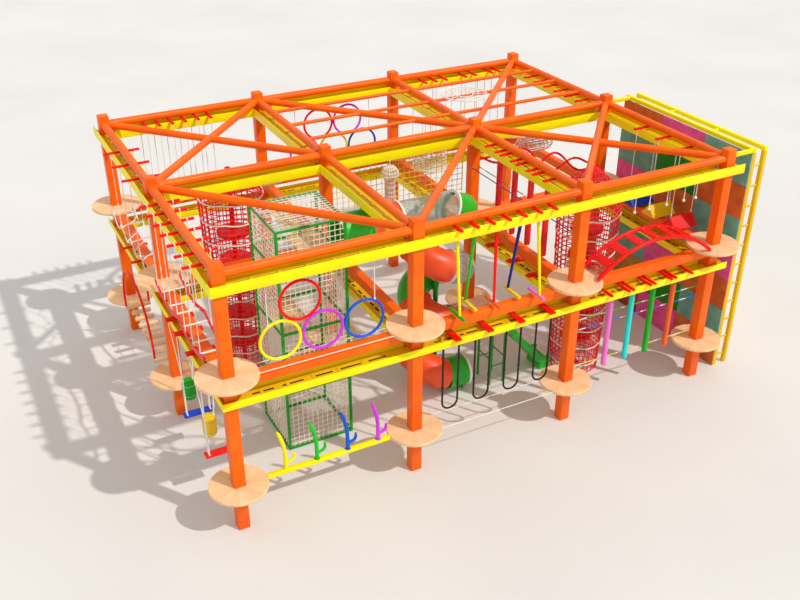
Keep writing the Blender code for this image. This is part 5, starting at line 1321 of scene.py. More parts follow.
@dataclass(frozen=True)
class SquareTower:
    """Green square tube frame with half decks, wrapped in a dense cord net."""

    x: tuple[float, float] = (1.79, 3.32)
    y: tuple[float, float] = (1.84, 3.36)
    top: float = 5.50
    tube: float = 0.06
    deck: float = 0.03
    boards: int = 6
    levels: tuple[float, ...] = (0.03, 1.540, 3.051, 4.561, 5.47)
    cord_r: float = 0.009
    cells: int = 13
    rows: int = 44
    opening: tuple[float, float, float] = (2.30, 4.95, 0.42)

    def frame(self) -> None:
        """Uprights, rails at every level and the three half decks."""
        (x_a, x_b), (y_a, y_b), t = self.x, self.y, self.tube
        slim = oblong(t * 0.86, t * 0.86, 0.008)
        piece = Piece("tower_frame_tubes")
        piece.add(GREEN, beams(at(np.repeat(self.x, 2), np.tile(self.y, 2), 0), (0, 0, self.top), oblong(t, t, 0.008), 0.006),
                  *(beams(at(x_a + t / 2, y, self.levels), (x_b - x_a - t, 0, 0), slim) for y in self.y),
                  *(beams(at(x, y_a + t / 2, self.levels), (0, y_b - y_a - t, 0), slim) for x in self.x))
        width = (x_b - x_a) / 2 / self.boards
        for index, level in enumerate(self.levels[1:-1]):
            low = x_a if index % 2 else (x_a + x_b) / 2
            piece.add(PINE, beams(at(low + width * (np.arange(self.boards) + 0.5), y_a, level), (0, y_b - y_a, 0),
                                  oblong(width - 0.004, self.deck, 0.004), 0.003))
        piece.make("green_steel", "tower_frame")

    def net(self) -> None:
        """Square mesh on the four sides and over the top, with a hole where the crawl tube leaves."""
        xs, ys = (np.linspace(a - self.cord_r / 2, b + self.cord_r / 2, self.cells + 1) for a, b in (self.x, self.y))
        z = np.linspace(0.02, self.top + 0.004, self.rows + 1)[:, None]
        y_hole, z_hole, r_hole = self.opening
        side = at(xs[-1], ys, z)
        keep = np.hypot(side[..., 1] - y_hole, side[..., 2] - z_hole) > r_hole
        piece = Piece("tower_net_cords")
        piece.add(CREAM_ROPE, *(netting(at(xs, y, z), self.cord_r, ref=Y_AXIS, knots=1.5) for y in (ys[0], ys[-1])),
                  netting(at(xs[0], ys, z), self.cord_r, ref=X_AXIS, knots=1.5),
                  netting_edges(side, self.cord_r, keep, X_AXIS),
                  hoop((xs[-1], y_hole, z_hole), r_hole + 0.02, self.cord_r * 1.6, X_AXIS, 40, 6),
                  netting(at(xs, ys[:, None], z[-1]), self.cord_r, knots=1.5))
        piece.make("cream_rope", "tower_net")


@dataclass(frozen=True)
class RoundTower:
    """Round net tower of leaning red cords and sagging cream rings round a pole of red drums."""

    side: str
    centre: tuple[float, float]
    low_r: float = 0.60
    top_r: float = 0.76
    ring_top: float = 4.85
    apex: float = 5.50
    hub_r: float = 0.07
    hub_h: float = 0.10
    cord_r: float = 0.014
    cords: int = 28
    rows: int = 38
    cream_every: int = 4
    drums: int = 5
    drum_r: float = 0.40
    drum_h: float = 0.12
    drum_z: float = 0.80
    drum_pitch: float = 0.75
    pole_r: float = 0.06

    def radius(self, z: ArrayLike) -> Array:
        """Radius of the net at a height: it widens evenly to the top ring."""
        return self.low_r + (self.top_r - self.low_r) * np.asarray(z) / self.ring_top

    def net(self) -> None:
        """Cord grid, cream rings that sag between the cords, and the cone over them with its hub."""
        z, hub = np.linspace(1.5 * self.cord_r, self.ring_top, self.rows + 1), self.apex - self.hub_h
        levels = z[2::self.cream_every]
        sag = at(0, 0, 0.035 * np.abs(np.sin(np.arange(96) * 6 * np.pi / 96)))
        swags = rings(self.centre, self.radius(levels) + 0.012, levels, 96) - sag
        cone = rings(self.centre, np.linspace(self.radius(self.ring_top), self.hub_r, 7),
                     np.linspace(self.ring_top, hub + 0.02, 7), self.cords)
        height = np.array((0, 0.012, 0.025, 0.06, self.hub_h - 0.02, self.hub_h)) + hub
        piece = Piece(f"net_tower_{self.side}_cords")
        piece.add(RED_ROPE, netting(rings(self.centre, self.radius(z), z, self.cords), self.cord_r, True, knots=1.4))
        piece.add(CREAM_ROPE, rod(swags, 0.018, 8, Z_AXIS, closed=True))
        piece.add(RED_ROPE, rod(cone.transpose(1, 0, 2), 0.010, 6), rod(cone[1:6], 0.010, 6, Z_AXIS, closed=True))
        piece.add(RED, rod(at(*self.centre, height), self.hub_r, 20, Y_AXIS, (0.6, 0.8, 1.0, 1.0, 1.0, 0.55)),
                  hoop((*self.centre, self.ring_top - 0.02), self.top_r, 0.014, sides=8))
        piece.make("red_rope", f"net_tower_{self.side}")

    def pole(self) -> None:
        """Pole with its drums: each a turned disc with a round edge, a groove and a hub collar."""
        foot = at(*self.centre, 0)
        level = np.array((0, 0.006, 0.022, 0.052, 0.056, 0.064, 0.068, 0.098, 0.114, 0.120, 0.120, 0.150, 0.156))
        size = (0.93, 0.975, 1.0, 1.0, 0.985, 0.985, 1.0, 1.0, 0.975, 0.93, 0.26, 0.26, 0.22)
        levels = spaced(self.drum_z, self.drum_pitch, self.drums)[:, None] + level * self.drum_h / 0.12
        piece = Piece(f"drum_pole_{self.side}_discs")
        piece.add(RED, beams(foot, (0, 0, self.apex - self.hub_h - PLAN.gap), circle(self.pole_r, 20), 0.004),
                  beams(foot, (0, 0, 0.015), circle(self.pole_r * 2.3, 24), 0.004))
        piece.add(RED_DRUM, rod(at(*self.centre, levels), self.drum_r, 40, Y_AXIS, size))
        piece.make("red_plastic", f"drum_pole_{self.side}")


@dataclass(frozen=True)
class Slide:
    """Crawl tube and spiral tube slide in moulded lengths with flanged and bolted joints."""

    radius: float = 0.38
    wall: float = 0.02
    y: float = 2.30
    z: float = 4.95
    x: tuple[float, float] = (3.29, 5.55)
    axis: tuple[float, float] = (6.10, 2.85)
    turn_r: float = 0.55
    pitch: float = 1.5
    turns: int = 3
    exit_run: float = 0.55
    column_r: float = 0.06
    sides: int = 36

    def helix(self, turn: Array) -> Array:
        """Centre line: (X + R cos a, Y + R sin a, Z - pitch * turn), a = 2 pi turn - pi / 2."""
        angle, (x, y) = 2 * np.pi * turn - np.pi / 2, self.axis
        return at(x + self.turn_r * np.cos(angle), y + self.turn_r * np.sin(angle), self.z - self.pitch * turn)

    def pipe(self, line: Array) -> Shell:
        """A plain length of tube along the line."""
        return pipe(line, self.radius, self.wall, self.sides)

    def flange(self, centre: Array, along: Array) -> Shell:
        """A pair of joined rims: the circle swells over a short length of the line.

        Args:
            centre: Where the lengths meet.
            along: Direction of the line there.

        Returns:
            The rims.
        """
        step = np.array((-0.024, -0.022, -0.004, -0.002, 0.002, 0.004, 0.022, 0.024))
        size = np.array((1.0, 1.10, 1.10, 1.085, 1.085, 1.10, 1.10, 1.0))
        line, inner = centre + step[:, None] * along, np.full(8, self.radius - self.wall * 1.5)
        return carry(np.concatenate((line, line[::-1])), circle(1.0, self.sides), Z_AXIS,
                     np.append(self.radius * size, inner), True, np.broadcast_to(along, (16, 3)))

    def bolts(self, centre: Array, along: Array) -> Shell:
        """Eight bolt heads round a flange, each a short hexagon on both faces.

        Args:
            centre: Where the lengths meet.
            along: Direction of the line there.

        Returns:
            The bolts.
        """
        side, angle = unit(np.cross(along, Z_AXIS)), np.arange(8)[:, None] * np.pi / 4 + 0.2
        spot = centre + self.radius * 1.055 * (np.cos(angle) * side + np.sin(angle) * np.cross(side, along))
        return spread(spot, along * 0.032, circle(0.010, 6), 0.003, Z_AXIS)

    def crawl(self) -> None:
        """Straight tube from the tower in three lengths."""
        piece = Piece("crawl_tube_lengths")
        cuts, along = np.linspace(self.x[0], self.x[1] - PLAN.gap, 4), np.array(X_AXIS)
        for a, b, finish in zip(cuts, cuts[1:], (GREEN_TUBE, ORANGE_TUBE, CLEAR_TUBE)):
            piece.add(finish, self.pipe(at(np.linspace(a, b, 4), self.y, self.z)))
        for x, finish in ((cuts[0] + 0.03, GREEN_TUBE), (cuts[1], GREEN_TUBE), (cuts[2], WHITE_TUBE)):
            spot = at(x, self.y, self.z)
            piece.add(finish, self.flange(spot, along)).add(ZINC, self.bolts(spot, along))
        piece.make("green_plastic", "crawl_tube")

    def spiral(self) -> None:
        """Quarter-turn lengths in green, orange and clear down to the mouth, the column and its arms."""
        piece = Piece("tube_slide_lengths")
        colours = (GREEN_TUBE, CLEAR_TUBE, CLEAR_TUBE, ORANGE_TUBE, CLEAR_TUBE, CLEAR_TUBE, GREEN_TUBE, ORANGE_TUBE,
                   ORANGE_TUBE, CLEAR_TUBE, GREEN_TUBE, ORANGE_TUBE)
        per = self.turns / len(colours)
        for k, finish in enumerate(colours):
            before, joint, after = self.helix(k * per + np.array((-0.01, 0.0, 0.01)))
            rim = WHITE_TUBE if k == 0 or finish is CLEAR_TUBE else finish
            piece.add(finish, self.pipe(self.helix(np.linspace(k * per, (k + 1) * per, 11))))
            piece.add(rim, self.flange(joint, unit(after - before))).add(ZINC,
                                                                         self.bolts(joint, unit(after - before)))
        first, last = self.helix(np.array((0.0, self.turns)))
        out = between(last, last + (self.exit_run, 0, 0), 5)
        piece.add(CLEAR_TUBE, self.pipe(between((self.x[1], self.y, self.z), first, 4)))
        piece.add(GREEN_TUBE, self.pipe(out))
        piece.add(WHITE_TUBE, self.flange(out[-1] - (0.026, 0, 0), np.array(X_AXIS)))
        foot, spot = at(*self.axis, 0), self.helix((np.arange(3) + 0.5) * self.turns / 3)
        root = foot + spot * Z_AXIS
        x, y, z = out[-2]
        piece.add(GREEN, beams(foot, (0, 0, self.z), circle(self.column_r, 20), 0.006),
                  beams(foot, (0, 0, 0.016), circle(self.column_r * 2.4, 24), 0.004),
                  beams(root, unit(spot - root) * (self.turn_r - self.radius + self.wall),
                        oblong(0.05, 0.05, 0.008), 0.003),
                  spread(root, (0, 0, 0.05), circle(self.column_r + 0.012, 20), 0.003),
                  beams(at(x, (y - 0.16, y + 0.16), 0), (0, 0, z - self.radius + 0.05), oblong(0.04, 0.04)))
        piece.make("green_plastic", "tube_slide")


@dataclass(frozen=True)
class Chute:
    """Straight open chute with its deck, legs and landing."""

    y: float = 2.20
    width: float = 0.60
    top: tuple[float, float] = (7.60, 1.50)
    foot: tuple[float, float] = (8.68, 0.20)
    side: float = 0.18
    wall: float = 0.03
    landing: float = 0.30
    stand: float = 0.45
    boards: int = 5
    leg: float = 0.05
    wave: float = 0.06

    def build(self) -> None:
        """A trough section carried down the run, rolled rims, deck boards, legs and a foot pad."""
        half, w, s, leg = self.width / 2, self.wall, self.side, self.leg / 2
        (x_top, z_top), (x_foot, z_foot) = self.top, self.foot
        right = np.array(((half + w / 2, -w), (half + w / 2, s - w), (half - w / 2, s - w), (half - w / 2, w / 2),
                          (half - w, 0.004)))
        left = right[::-1] * (-1, 1)
        trough = np.concatenate((left[-2:], right, left[:-2]))
        line = smooth_path(at((x_top - self.stand * 0.35, x_top, x_foot, x_foot + self.landing), self.y,
                              np.repeat((z_top, z_foot), 2) + w / 2), 0.22, 9)
        old = np.linspace(0, 1, len(line))
        line = np.stack([np.interp(np.linspace(0, 1, 40), old, column) for column in line.T], axis=1)
        share = np.clip((line[:, 0] - x_top) / (x_foot - x_top), 0, 1)
        line[:, 2] += self.wave * np.sin(4 * np.pi * share) * np.sin(np.pi * share)
        way = tangents_of(line[None])[0]
        rim = line + np.cross(np.cross(way, Z_AXIS), way) * (s - w)
        piece = Piece("chute_trough")
        piece.add(GREEN_TUBE, carry(line, trough, Z_AXIS),
                  *(rod(rim + (0, sign * half, 0), 0.024, 12, Z_AXIS) for sign in SIDES))
        back = x_top - self.stand
        width = (self.stand + w) / self.boards
        piece.add(PINE, spread(at(back + width * (np.arange(self.boards) + 0.5), self.y, z_top - w / 2), (0, half + w, 0),
                               oblong(width - 0.004, w, 0.004), 0.003))
        legs = at(np.repeat((back + leg, x_top - leg), 2), np.tile((self.y - half + leg, self.y + half - leg), 2), 0)
        piece.add(GREEN, beams(legs, (0, 0, z_top - w), oblong(self.leg, self.leg, 0.008)),
                  bars(legs[[0, 1]] + (0, 0, 0.55), legs[[2, 3]] + (0, 0, 0.55), circle(0.016, 10)),
                  bars(legs[[0, 2]] + (0, 0, 0.75), legs[[1, 3]] + (0, 0, 0.75), circle(0.016, 10)))
        piece.add(GREEN_TUBE, beams(at(x_foot + self.landing / 2, self.y, 0), (0, 0, z_foot - w / 2),
                                    oblong(self.width, self.landing, 0.03, 4), 0.012, X_AXIS))
        piece.make("green_plastic", "chute")


@dataclass(frozen=True)
class Nets:
    """Net basket, net curtain, the net column before it, the barrel net behind it and the ring net on the joists."""

    column: tuple[float, float, float] = (5.56, 4.19, 4.28)
    barrel: tuple[float, float, float] = (9.62, 4.84, 4.92)
    web: tuple[float, float] = (9.0, 6.6)
    basket: tuple[float, float] = (8.0, 6.6)
    basket_r: float = 0.48
    low: float = 4.05
    high: float = 4.45
    hem: float = 3.77
    cord_r: float = 0.009

    def hang_basket(self) -> None:
        """Round net basket with a cone top, on one rope."""
        hub, count, cord = self.high + self.basket_r, 20, self.cord_r
        z = np.array((self.low, self.low + 0.10, self.low + 0.20, self.low + 0.30, self.high))
        radius = np.interp(z, (self.low, self.high), (self.basket_r, self.basket_r * 0.92))
        cone = rings(self.basket, np.linspace(radius[-1], 0.03, 8), np.linspace(self.high, hub, 8), count)
        floor = rings(self.basket, radius[0] * np.linspace(1, 0.12, 5), self.low, count)
        piece = Piece("net_basket_cords")
        piece.add(CREAM_ROPE, netting(rings(self.basket, radius, z, count), cord, ring=True, knots=1.5),
                  netting(cone[:-1], cord, ring=True), netting(floor, cord, ring=True, ref=Z_AXIS),
                  hoop((*self.basket, self.low + 0.015), self.basket_r, 0.014),
                  hoop((*self.basket, self.high), float(radius[-1]), 0.014),
                  rod(at(*self.basket, (hub, PLAN.high_axis - EYE)), 0.010))
        piece.add(ZINC, shackles(at(*self.basket, PLAN.high_axis)), beads(at(*self.basket, (hub,)), 0.035, 12))
        piece.make("cream_rope", "net_basket")

    def curtain(self) -> None:
        """Square mesh under the middle track in the second bay, with a rope round its edge."""
        x_a, x_b = PLAN.bay_x + PLAN.track_half, 2 * PLAN.bay_x - PLAN.track_half
        low, high = self.hem, PLAN.high_track - PLAN.high_depth - 0.002
        y = PLAN.bay_y + PLAN.track_half - PLAN.track_plate / 2
        xs, zs = np.linspace(x_a, x_b, 25), np.linspace(low, high, 13)[:, None]
        sway = 0.02 * np.sin(xs * 2.3) * np.sin((zs - low) / (high - low) * np.pi)
        rim = at((x_a, x_b, x_b, x_a), y, (low, low, high, high))
        piece = Piece("net_curtain_cords")
        piece.add(YELLOW_ROPE, netting(at(xs, y + sway, zs), self.cord_r, ref=Y_AXIS, knots=1.5),
                  bars(rim, np.roll(rim, -1, axis=0), circle(0.010, 8), ref=Y_AXIS))
        piece.make("yellow_rope", "net_curtain")

    def turned(self, centre: Sequence[float], along: Sequence[float], line: Array, count: int = 18) -> list[Shell]:
        """Net of revolution: at each (distance, radius) of the line a ring of crossings round the axis.

        Args:
            centre: Start of the axis.
            along: Direction of the axis.
            line: Rows of distance along the axis and radius.
            count: Crossings in a ring.

        Returns:
            The rings and the lengthwise cords.
        """
        axis, angle = np.array(along), np.arange(count)[:, None] * 2 * np.pi / count
        ring = np.cos(angle) * np.cross(axis, Y_AXIS) + np.sin(angle) * np.array(Y_AXIS)
        grid = np.array(centre) + line[:, 0, None, None] * axis + line[:, 1, None, None] * ring
        return [rod(grid, 0.012, 6, along, closed=True),
                rod(grid.transpose(1, 0, 2), 0.012, 6, None if axis[2] else Y_AXIS)]

    def small_nets(self) -> None:
        """A net column with a cap under the middle track, a slatted net barrel behind it, a ring net on the joists."""
        column = np.array(((0, 0.20), (0.10, 0.20), (0.22, 0.14), (0.34, 0.12), (0.46, 0.12), (0.58, 0.12),
                           (0.70, 0.12),
                           (0.80, 0.15), (0.88, 0.21), (0.96, 0.20), (1.04, 0.15), (1.10, 0.06)))
        barrel = np.array(((0, 0.13), (0.08, 0.18), (0.2, 0.20), (0.4, 0.205), (0.6, 0.205), (0.8, 0.20),
                           (0.92, 0.18),
                           (1.0, 0.13)))
        x, y, low = self.column
        piece = Piece("rear_small_nets")
        piece.add(CREAM_ROPE, *self.turned(self.column, Z_AXIS, column))
        piece.add(RED_ROPE, *(hoop((x, y, low + rise), 0.110, 0.014, steps=24, sides=8)
                              for rise in (0.22, 0.31, 0.40, 0.49, 0.58, 0.67)))
        piece.add(CREAM_ROPE, rod(at(x, y, (low + 1.09, PLAN.high_track - PLAN.high_depth + 0.01)), 0.012),
                  *self.turned(self.barrel, X_AXIS, barrel))
        x, y, z = self.barrel
        angle = np.arange(8) * np.pi / 4 + 0.2
        piece.add(RED_WOOD, beams(at(x + 0.10, y + 0.19 * np.cos(angle), z + 0.19 * np.sin(angle)), (0.8, 0, 0),
                                  oblong(0.03, 0.012, 0.004), 0.003))
        piece.add(CREAM_ROPE, bars(at((x + 0.10, x + 0.90), y, z + 0.21), at((x + 0.10, x + 0.90), y, PLAN.roof_z - 0.09),
                                   circle(0.008, 8)))
        middle, angle = at(*self.web, PLAN.roof_z + 0.045 + 0.012), np.arange(16) * np.pi / 8
        way = at(np.cos(angle), np.sin(angle), 0)
        piece.add(WHITE_ROPE, *(hoop(middle, radius, 0.012, sides=8) for radius in (0.62, 0.56, 0.40, 0.24)),
                  bars(middle + way * 0.24, middle + way * 0.62, circle(0.007, 6)))
        piece.make("cream_rope")

    def build(self) -> None:
        """All the loose nets."""
        self.hang_basket()
        self.curtain()
        self.small_nets()


@dataclass(frozen=True)
class HungBridges:
    """Rear bridges: planks on two cables, each also hung from its crossbar by two ropes."""

    z: float = 3.78
    thick: float = 0.04
    width: float = 0.14
    cable_y: float = 0.28

    def bridge(self, name: str, bay: int, xs: Array) -> None:
        """One bridge of the rear row.

        Args:
            name: Name of its node.
            bay: Number of its bay, from 0.
            xs: Places of its planks.
        """
        y, drop, rim = PLAN.depth, PLAN.high_deck - PLAN.deck_t / 2, PLAN.rim(self.cable_y)
        ends_x = (bay * PLAN.bay_x + rim, xs[0], xs[-1], (bay + 1) * PLAN.bay_x - rim)
        piece = Piece(name + "_planks")
        piece.add(PINE, spread(at(xs, y, self.z + self.thick / 2), (0, LONG_BAR_HALF, 0),
                               oblong(self.width, self.thick, 0.007, 3), 0.005))
        for side in SIDES:
            low = at(xs, y + side * (LONG_BAR_HALF - BAR_W / 2), self.z + 0.004)
            high = low * (1, 1, 0) + (0, 0, PLAN.high_track + BAR_T / 2)
            line = smooth_path(at(ends_x, y + side * self.cable_y, (drop, self.z, self.z, drop)), 0.08, 5)
            piece.add(WHITE_ROPE, rod(between(low, high, 7), PLAN.rope_r))
            piece.add(ZINC, beads(low + (0, 0, self.thick + 0.012), 0.016))
            piece.add(WHITE_ROPE, rod(line, PLAN.rope_r, 8, Z_AXIS))
        piece.add(RED, crossbars(xs, y, Y_AXIS, PLAN.high_track + PLAN.gap, LONG_BAR_HALF))
        piece.make("pine_wood", name)

    def build(self) -> None:
        """The left and the right bridge."""
        self.bridge("rear_left_bridge", 0, REAR_LEFT_BARS)
        self.bridge("rear_right_bridge", 2, REAR_RIGHT_BARS)


@dataclass(frozen=True)
class WaveRails:
    """Two wave-shaped rails pinned together where they cross."""

    rod_r: float = 0.03
    high: float = 5.05
    low: float = 4.15
    bulge: float = 0.32

    def build(self) -> None:
        """Each rail at height high + (low - high) t + bulge sin(pi t) sin(4 pi t + pi shift)."""
        start, end = 2 * PLAN.bay_x + PLAN.face, 3 * PLAN.bay_x - PLAN.face
        t, offset = np.linspace(0, 1, 61), PLAN.post / 2 - self.rod_r
        piece = Piece("wave_rails_pair")
        for side, shift in ((-1, 0.0), (1, 1.0)):
            wave = self.bulge * np.sin(np.pi * t) * np.sin(4 * np.pi * t + np.pi * shift)
            line = at(start + (end - start) * t, PLAN.bay_y + side * offset,
                      self.high + (self.low - self.high) * t + wave)
            piece.add(RED, rod(line, self.rod_r, 14, Y_AXIS),
                      beams(line[[0, -1]], at((0.012, -0.012), 0, 0), circle(self.rod_r * 1.7, 16), 0.002))
        t = np.array((0.25, 0.5, 0.75))
        pins = at(start + (end - start) * t, PLAN.bay_y - offset, self.high + (self.low - self.high) * t)
        piece.add(ZINC, beams(pins, (0, 2 * offset, 0), circle(self.rod_r / 2, 10)))
        piece.make("red_steel", "wave_rails")


@dataclass(frozen=True)
class ClimbingWall:
    """Climbing wall at the right end: twin top rails, lattice end columns, arms and painted boards."""

    inner_x: float = 12.80
    outer_x: float = 13.14
    length: float = 4.55
    top: float = 5.92
    tube: float = 0.10
    rung: float = 0.52
    board_t: float = 0.04
    ply_t: float = 0.012
    colours: tuple = ((RUST_PANEL, TEAL_PANEL, RUST_PANEL, MAGENTA_PANEL, TEAL_PANEL, RUST_PANEL, TEAL_PANEL),
                      (MAGENTA_PANEL, GREEN_PANEL, MAGENTA_PANEL, TEAL_PANEL, RUST_PANEL, GREEN_PANEL, MAGENTA_PANEL),
                      (BROWN_PANEL, OCHRE_PANEL, TEAL_PANEL, GREEN_PANEL, MAGENTA_PANEL, TEAL_PANEL, RUST_PANEL))

    def frame(self) -> None:
        """Rails, uprights, rungs and the two arms back to the posts."""
        t, long = self.tube, self.length
        across, profile = (self.outer_x - self.inner_x - t, 0, 0), oblong(t, t, 0.010)
        levels = self.rung * (np.arange(int((self.top - 2 * t) / self.rung)) + 0.5) + t / 4
        piece = Piece("wall_frame_tubes")
        for x in (self.inner_x + t / 2, self.outer_x + t / 2):
            piece.add(YELLOW, beams(at(x, 0, self.top - t / 2), (0, long, 0), profile, 0.004))
            piece.add(OCHRE, beams(at(x, (t / 2, long - t / 2), 0), (0, 0, self.top - t), profile))
        for y in (t / 2, long - t / 2):
            piece.add(OCHRE, beams(at(self.inner_x + t, y, levels), across, circle(t * 0.25, 12)))
        for share in (0.33, 0.67):
            piece.add(YELLOW, beams(at(self.inner_x + t, long * share, self.top - t / 2), across, oblong(t / 2, t / 2)))
        for y in (t * 0.6, PLAN.bay_y):
            start, end = (at(x, y, self.top - t * 0.47) for x in (PLAN.length + PLAN.face, self.inner_x))
            piece.add(YELLOW, bars(start, end, oblong(t * 0.9, t * 0.9, 0.010)),
                      beams(start, (0.01, 0, 0), oblong(t * 1.8, t * 1.8, 0.01), 0.002))
        piece.make("yellow_steel", "wall_frame")

    def boards(self) -> None:
        """Boards in a patchwork of colours, painted on the front and bare plywood on the back, with dark discs of
        painted shade for their bolt holes.
        """
        along, up = len(self.colours), len(self.colours[0])
        length, height = self.length / along, (self.top - self.tube) / up
        x = self.inner_x - self.board_t / 2 - 0.001
        paint = oblong(self.board_t - self.ply_t, length - 0.008, 0.008)
        ply = oblong(self.ply_t, length - 0.014, 0.003, 1)
        piece = Piece("wall_boards_painted")
        for i, column in enumerate(self.colours):
            for k, finish in enumerate(column):
                foot = at(x - self.ply_t / 2, length * (i + 0.5), height * k + 0.004)
                piece.add(finish, beams(foot, (0, 0, height - 0.008), paint, 0.006))
                piece.add(PINE, beams(foot + (self.board_t / 2, 0, 0.003), (0, 0, height - 0.014), ply))
        y, z = (np.arange(along * 5) + 0.5)[:, None] * length / 5, (np.arange(up * 3) + 0.5) * height / 3
        holes = at(self.inner_x - self.board_t - 0.001, y, z).reshape(-1, 3)
        # dark discs of painted shade stand in for the shade inside the bolt holes
        piece.add(PAINTED_SHADE, beams(holes, (0.003, 0, 0), circle(0.009, 8)))
        piece.make("rust_board", "wall_boards")

    def build(self) -> None:
        """Frame and boards."""
        self.frame()
        self.boards()


# Hanging pieces on their own bodies


@dataclass(frozen=True)
class Hoops:
    """Hoops that touch and hang on ropes, swinging as one set."""

    outer_r: float = 0.44
    tube_r: float = 0.03
    low_z: float = 4.18

    @property
    def pitch(self) -> float:
        """Distance between neighbouring hoops."""
        return 2 * self.outer_r + PLAN.gap

    def centres(self, first: float, upper: int) -> Array:
        """Centres (x, z) of three lower hoops and the upper ones in their dips."""
        low = [(first + self.pitch * k, self.low_z) for k in range(3)]
        high = [(first + self.pitch * (k + 0.5), self.low_z + self.pitch * math.sqrt(3) / 2) for k in range(upper)]
        return np.array(low + high)

    def ring(self, x: float, y: float, z: float) -> Shell:
        """One upright hoop."""
        return hoop((x, y, z), self.outer_r - self.tube_r, self.tube_r, Y_AXIS, 72, 14)

    def rope(self, x: float, y: float, foot: float) -> tuple[Shell, Shell]:
        """Rope and shackle down to a hoop.

        Returns:
            The rope with its knot, and the shackle.
        """
        line = between((x, y, PLAN.high_axis - EYE), (x, y, foot), 7)
        return (join(carry(line, circle(PLAN.rope_r, 8), Y_AXIS), beads(points((x, y, foot)), 0.024, 10)),
                shackles(points((x, y, PLAN.high_axis))))

    def build_front(self) -> None:
        """Yellow, magenta and blue below, red above."""
        first, spots = 1.10, self.centres(1.10, 1)
        corner = self.outer_r * math.sin(math.radians(60))
        outer = self.outer_r / 2 + PLAN.rope_r
        kinds = (("yellow", YELLOW, (first - outer, self.low_z + corner)), ("magenta", MAGENTA, None),
                 ("blue", BLUE, (first + 2 * self.pitch + outer, self.low_z + corner)),
                 ("red", RED, (spots[3][0], spots[3][1] + self.outer_r - self.tube_r)))
        for (name, finish, held), (x, z) in zip(kinds, spots):
            piece = Piece(f"hoop_{name}_ring", Body.FRONT_HOOPS.value).add(finish, self.ring(x, 0.0, z))
            if held:
                rope, ring = self.rope(held[0], 0.0, held[1])
                piece.add(WHITE_ROPE, rope).add(ZINC, ring)
            piece.make(f"{name}_steel", f"hoop_{name}")

    def build_rear(self) -> None:
        """Five hoops lashed together, three below and two above."""
        first, y, spots = 5.25, PLAN.depth, self.centres(5.25, 2)
        piece = Piece("rear_hoops_set", Body.REAR_HOOPS.value)
        for (x, z), finish in zip(spots, (MAGENTA, YELLOW, BLUE, RED, MAGENTA)):
            piece.add(finish, self.ring(x, y, z))
        corner = self.outer_r * math.sin(math.radians(60))
        outer = self.outer_r / 2 + PLAN.rope_r
        held = [(first - outer, self.low_z + corner), (first + 2 * self.pitch + outer, self.low_z + corner)]
        held += [(x, z + self.outer_r - self.tube_r) for x, z in spots[3:]]
        for x, foot in held:
            rope, ring = self.rope(x, y, foot)
            piece.add(WHITE_ROPE, rope).add(ZINC, ring)
        touch = [(spots[0] + spots[1]) / 2, (spots[1] + spots[2]) / 2, (spots[3] + spots[4]) / 2]
        for x, z in touch:
            piece.add(DARK_ROPE, hoop((x, y, z), 0.045, 0.008, Z_AXIS, 20, 6))
        piece.make("magenta_steel", "rear_hoops")


@dataclass(frozen=True)
class FootLoops:
    """Dark foot loops, each one rope bent into a U and hung from two shackles."""

    half: float = 0.19
    low: float = 1.33
    rope_r: float = 0.022

    def build(self) -> None:
        """Four loops, each a rope that ends in its shackles and sleeves."""
        top = PLAN.low_axis - EYE
        turn = np.linspace(np.pi, 2 * np.pi, 15)
        bend = np.stack((self.half * np.cos(turn), 0 * turn, self.low + self.half + self.half * np.sin(turn)), axis=1)
        drop = np.linspace(top, self.low + self.half, 14)[:-1]
        left = np.stack((np.full(13, -self.half), 0 * drop, drop), axis=1)
        line = np.concatenate((left, bend, (left * (-1, 1, 1))[::-1]))
        length = float(run_of(line)[-1])
        for index, x in enumerate(LOOP_XS):
            name = f"foot_loop_{index + 1}"
            tips = points((x - self.half, 0, PLAN.low_axis), (x + self.half, 0, PLAN.low_axis))
            sleeves = points((x - self.half, 0, self.low + 0.55), (x + self.half, 0, self.low + 0.55))
            fittings = Piece(name + "_fittings", name).add(ZINC, shackles(tips, 0.024))
            fittings.add(DARK_ROPE, bars(sleeves, sleeves + (0, 0, 0.07), circle(self.rope_r * 1.25, 14), 0.004))
            rope = Piece(name + "_rope", name).add(DARK_ROPE,
                                                   carry(line + (x, 0, 0), circle(self.rope_r, 12), Y_AXIS))
            made = rope.make("dark_rope", name)
            fittings.make("dark_rope")


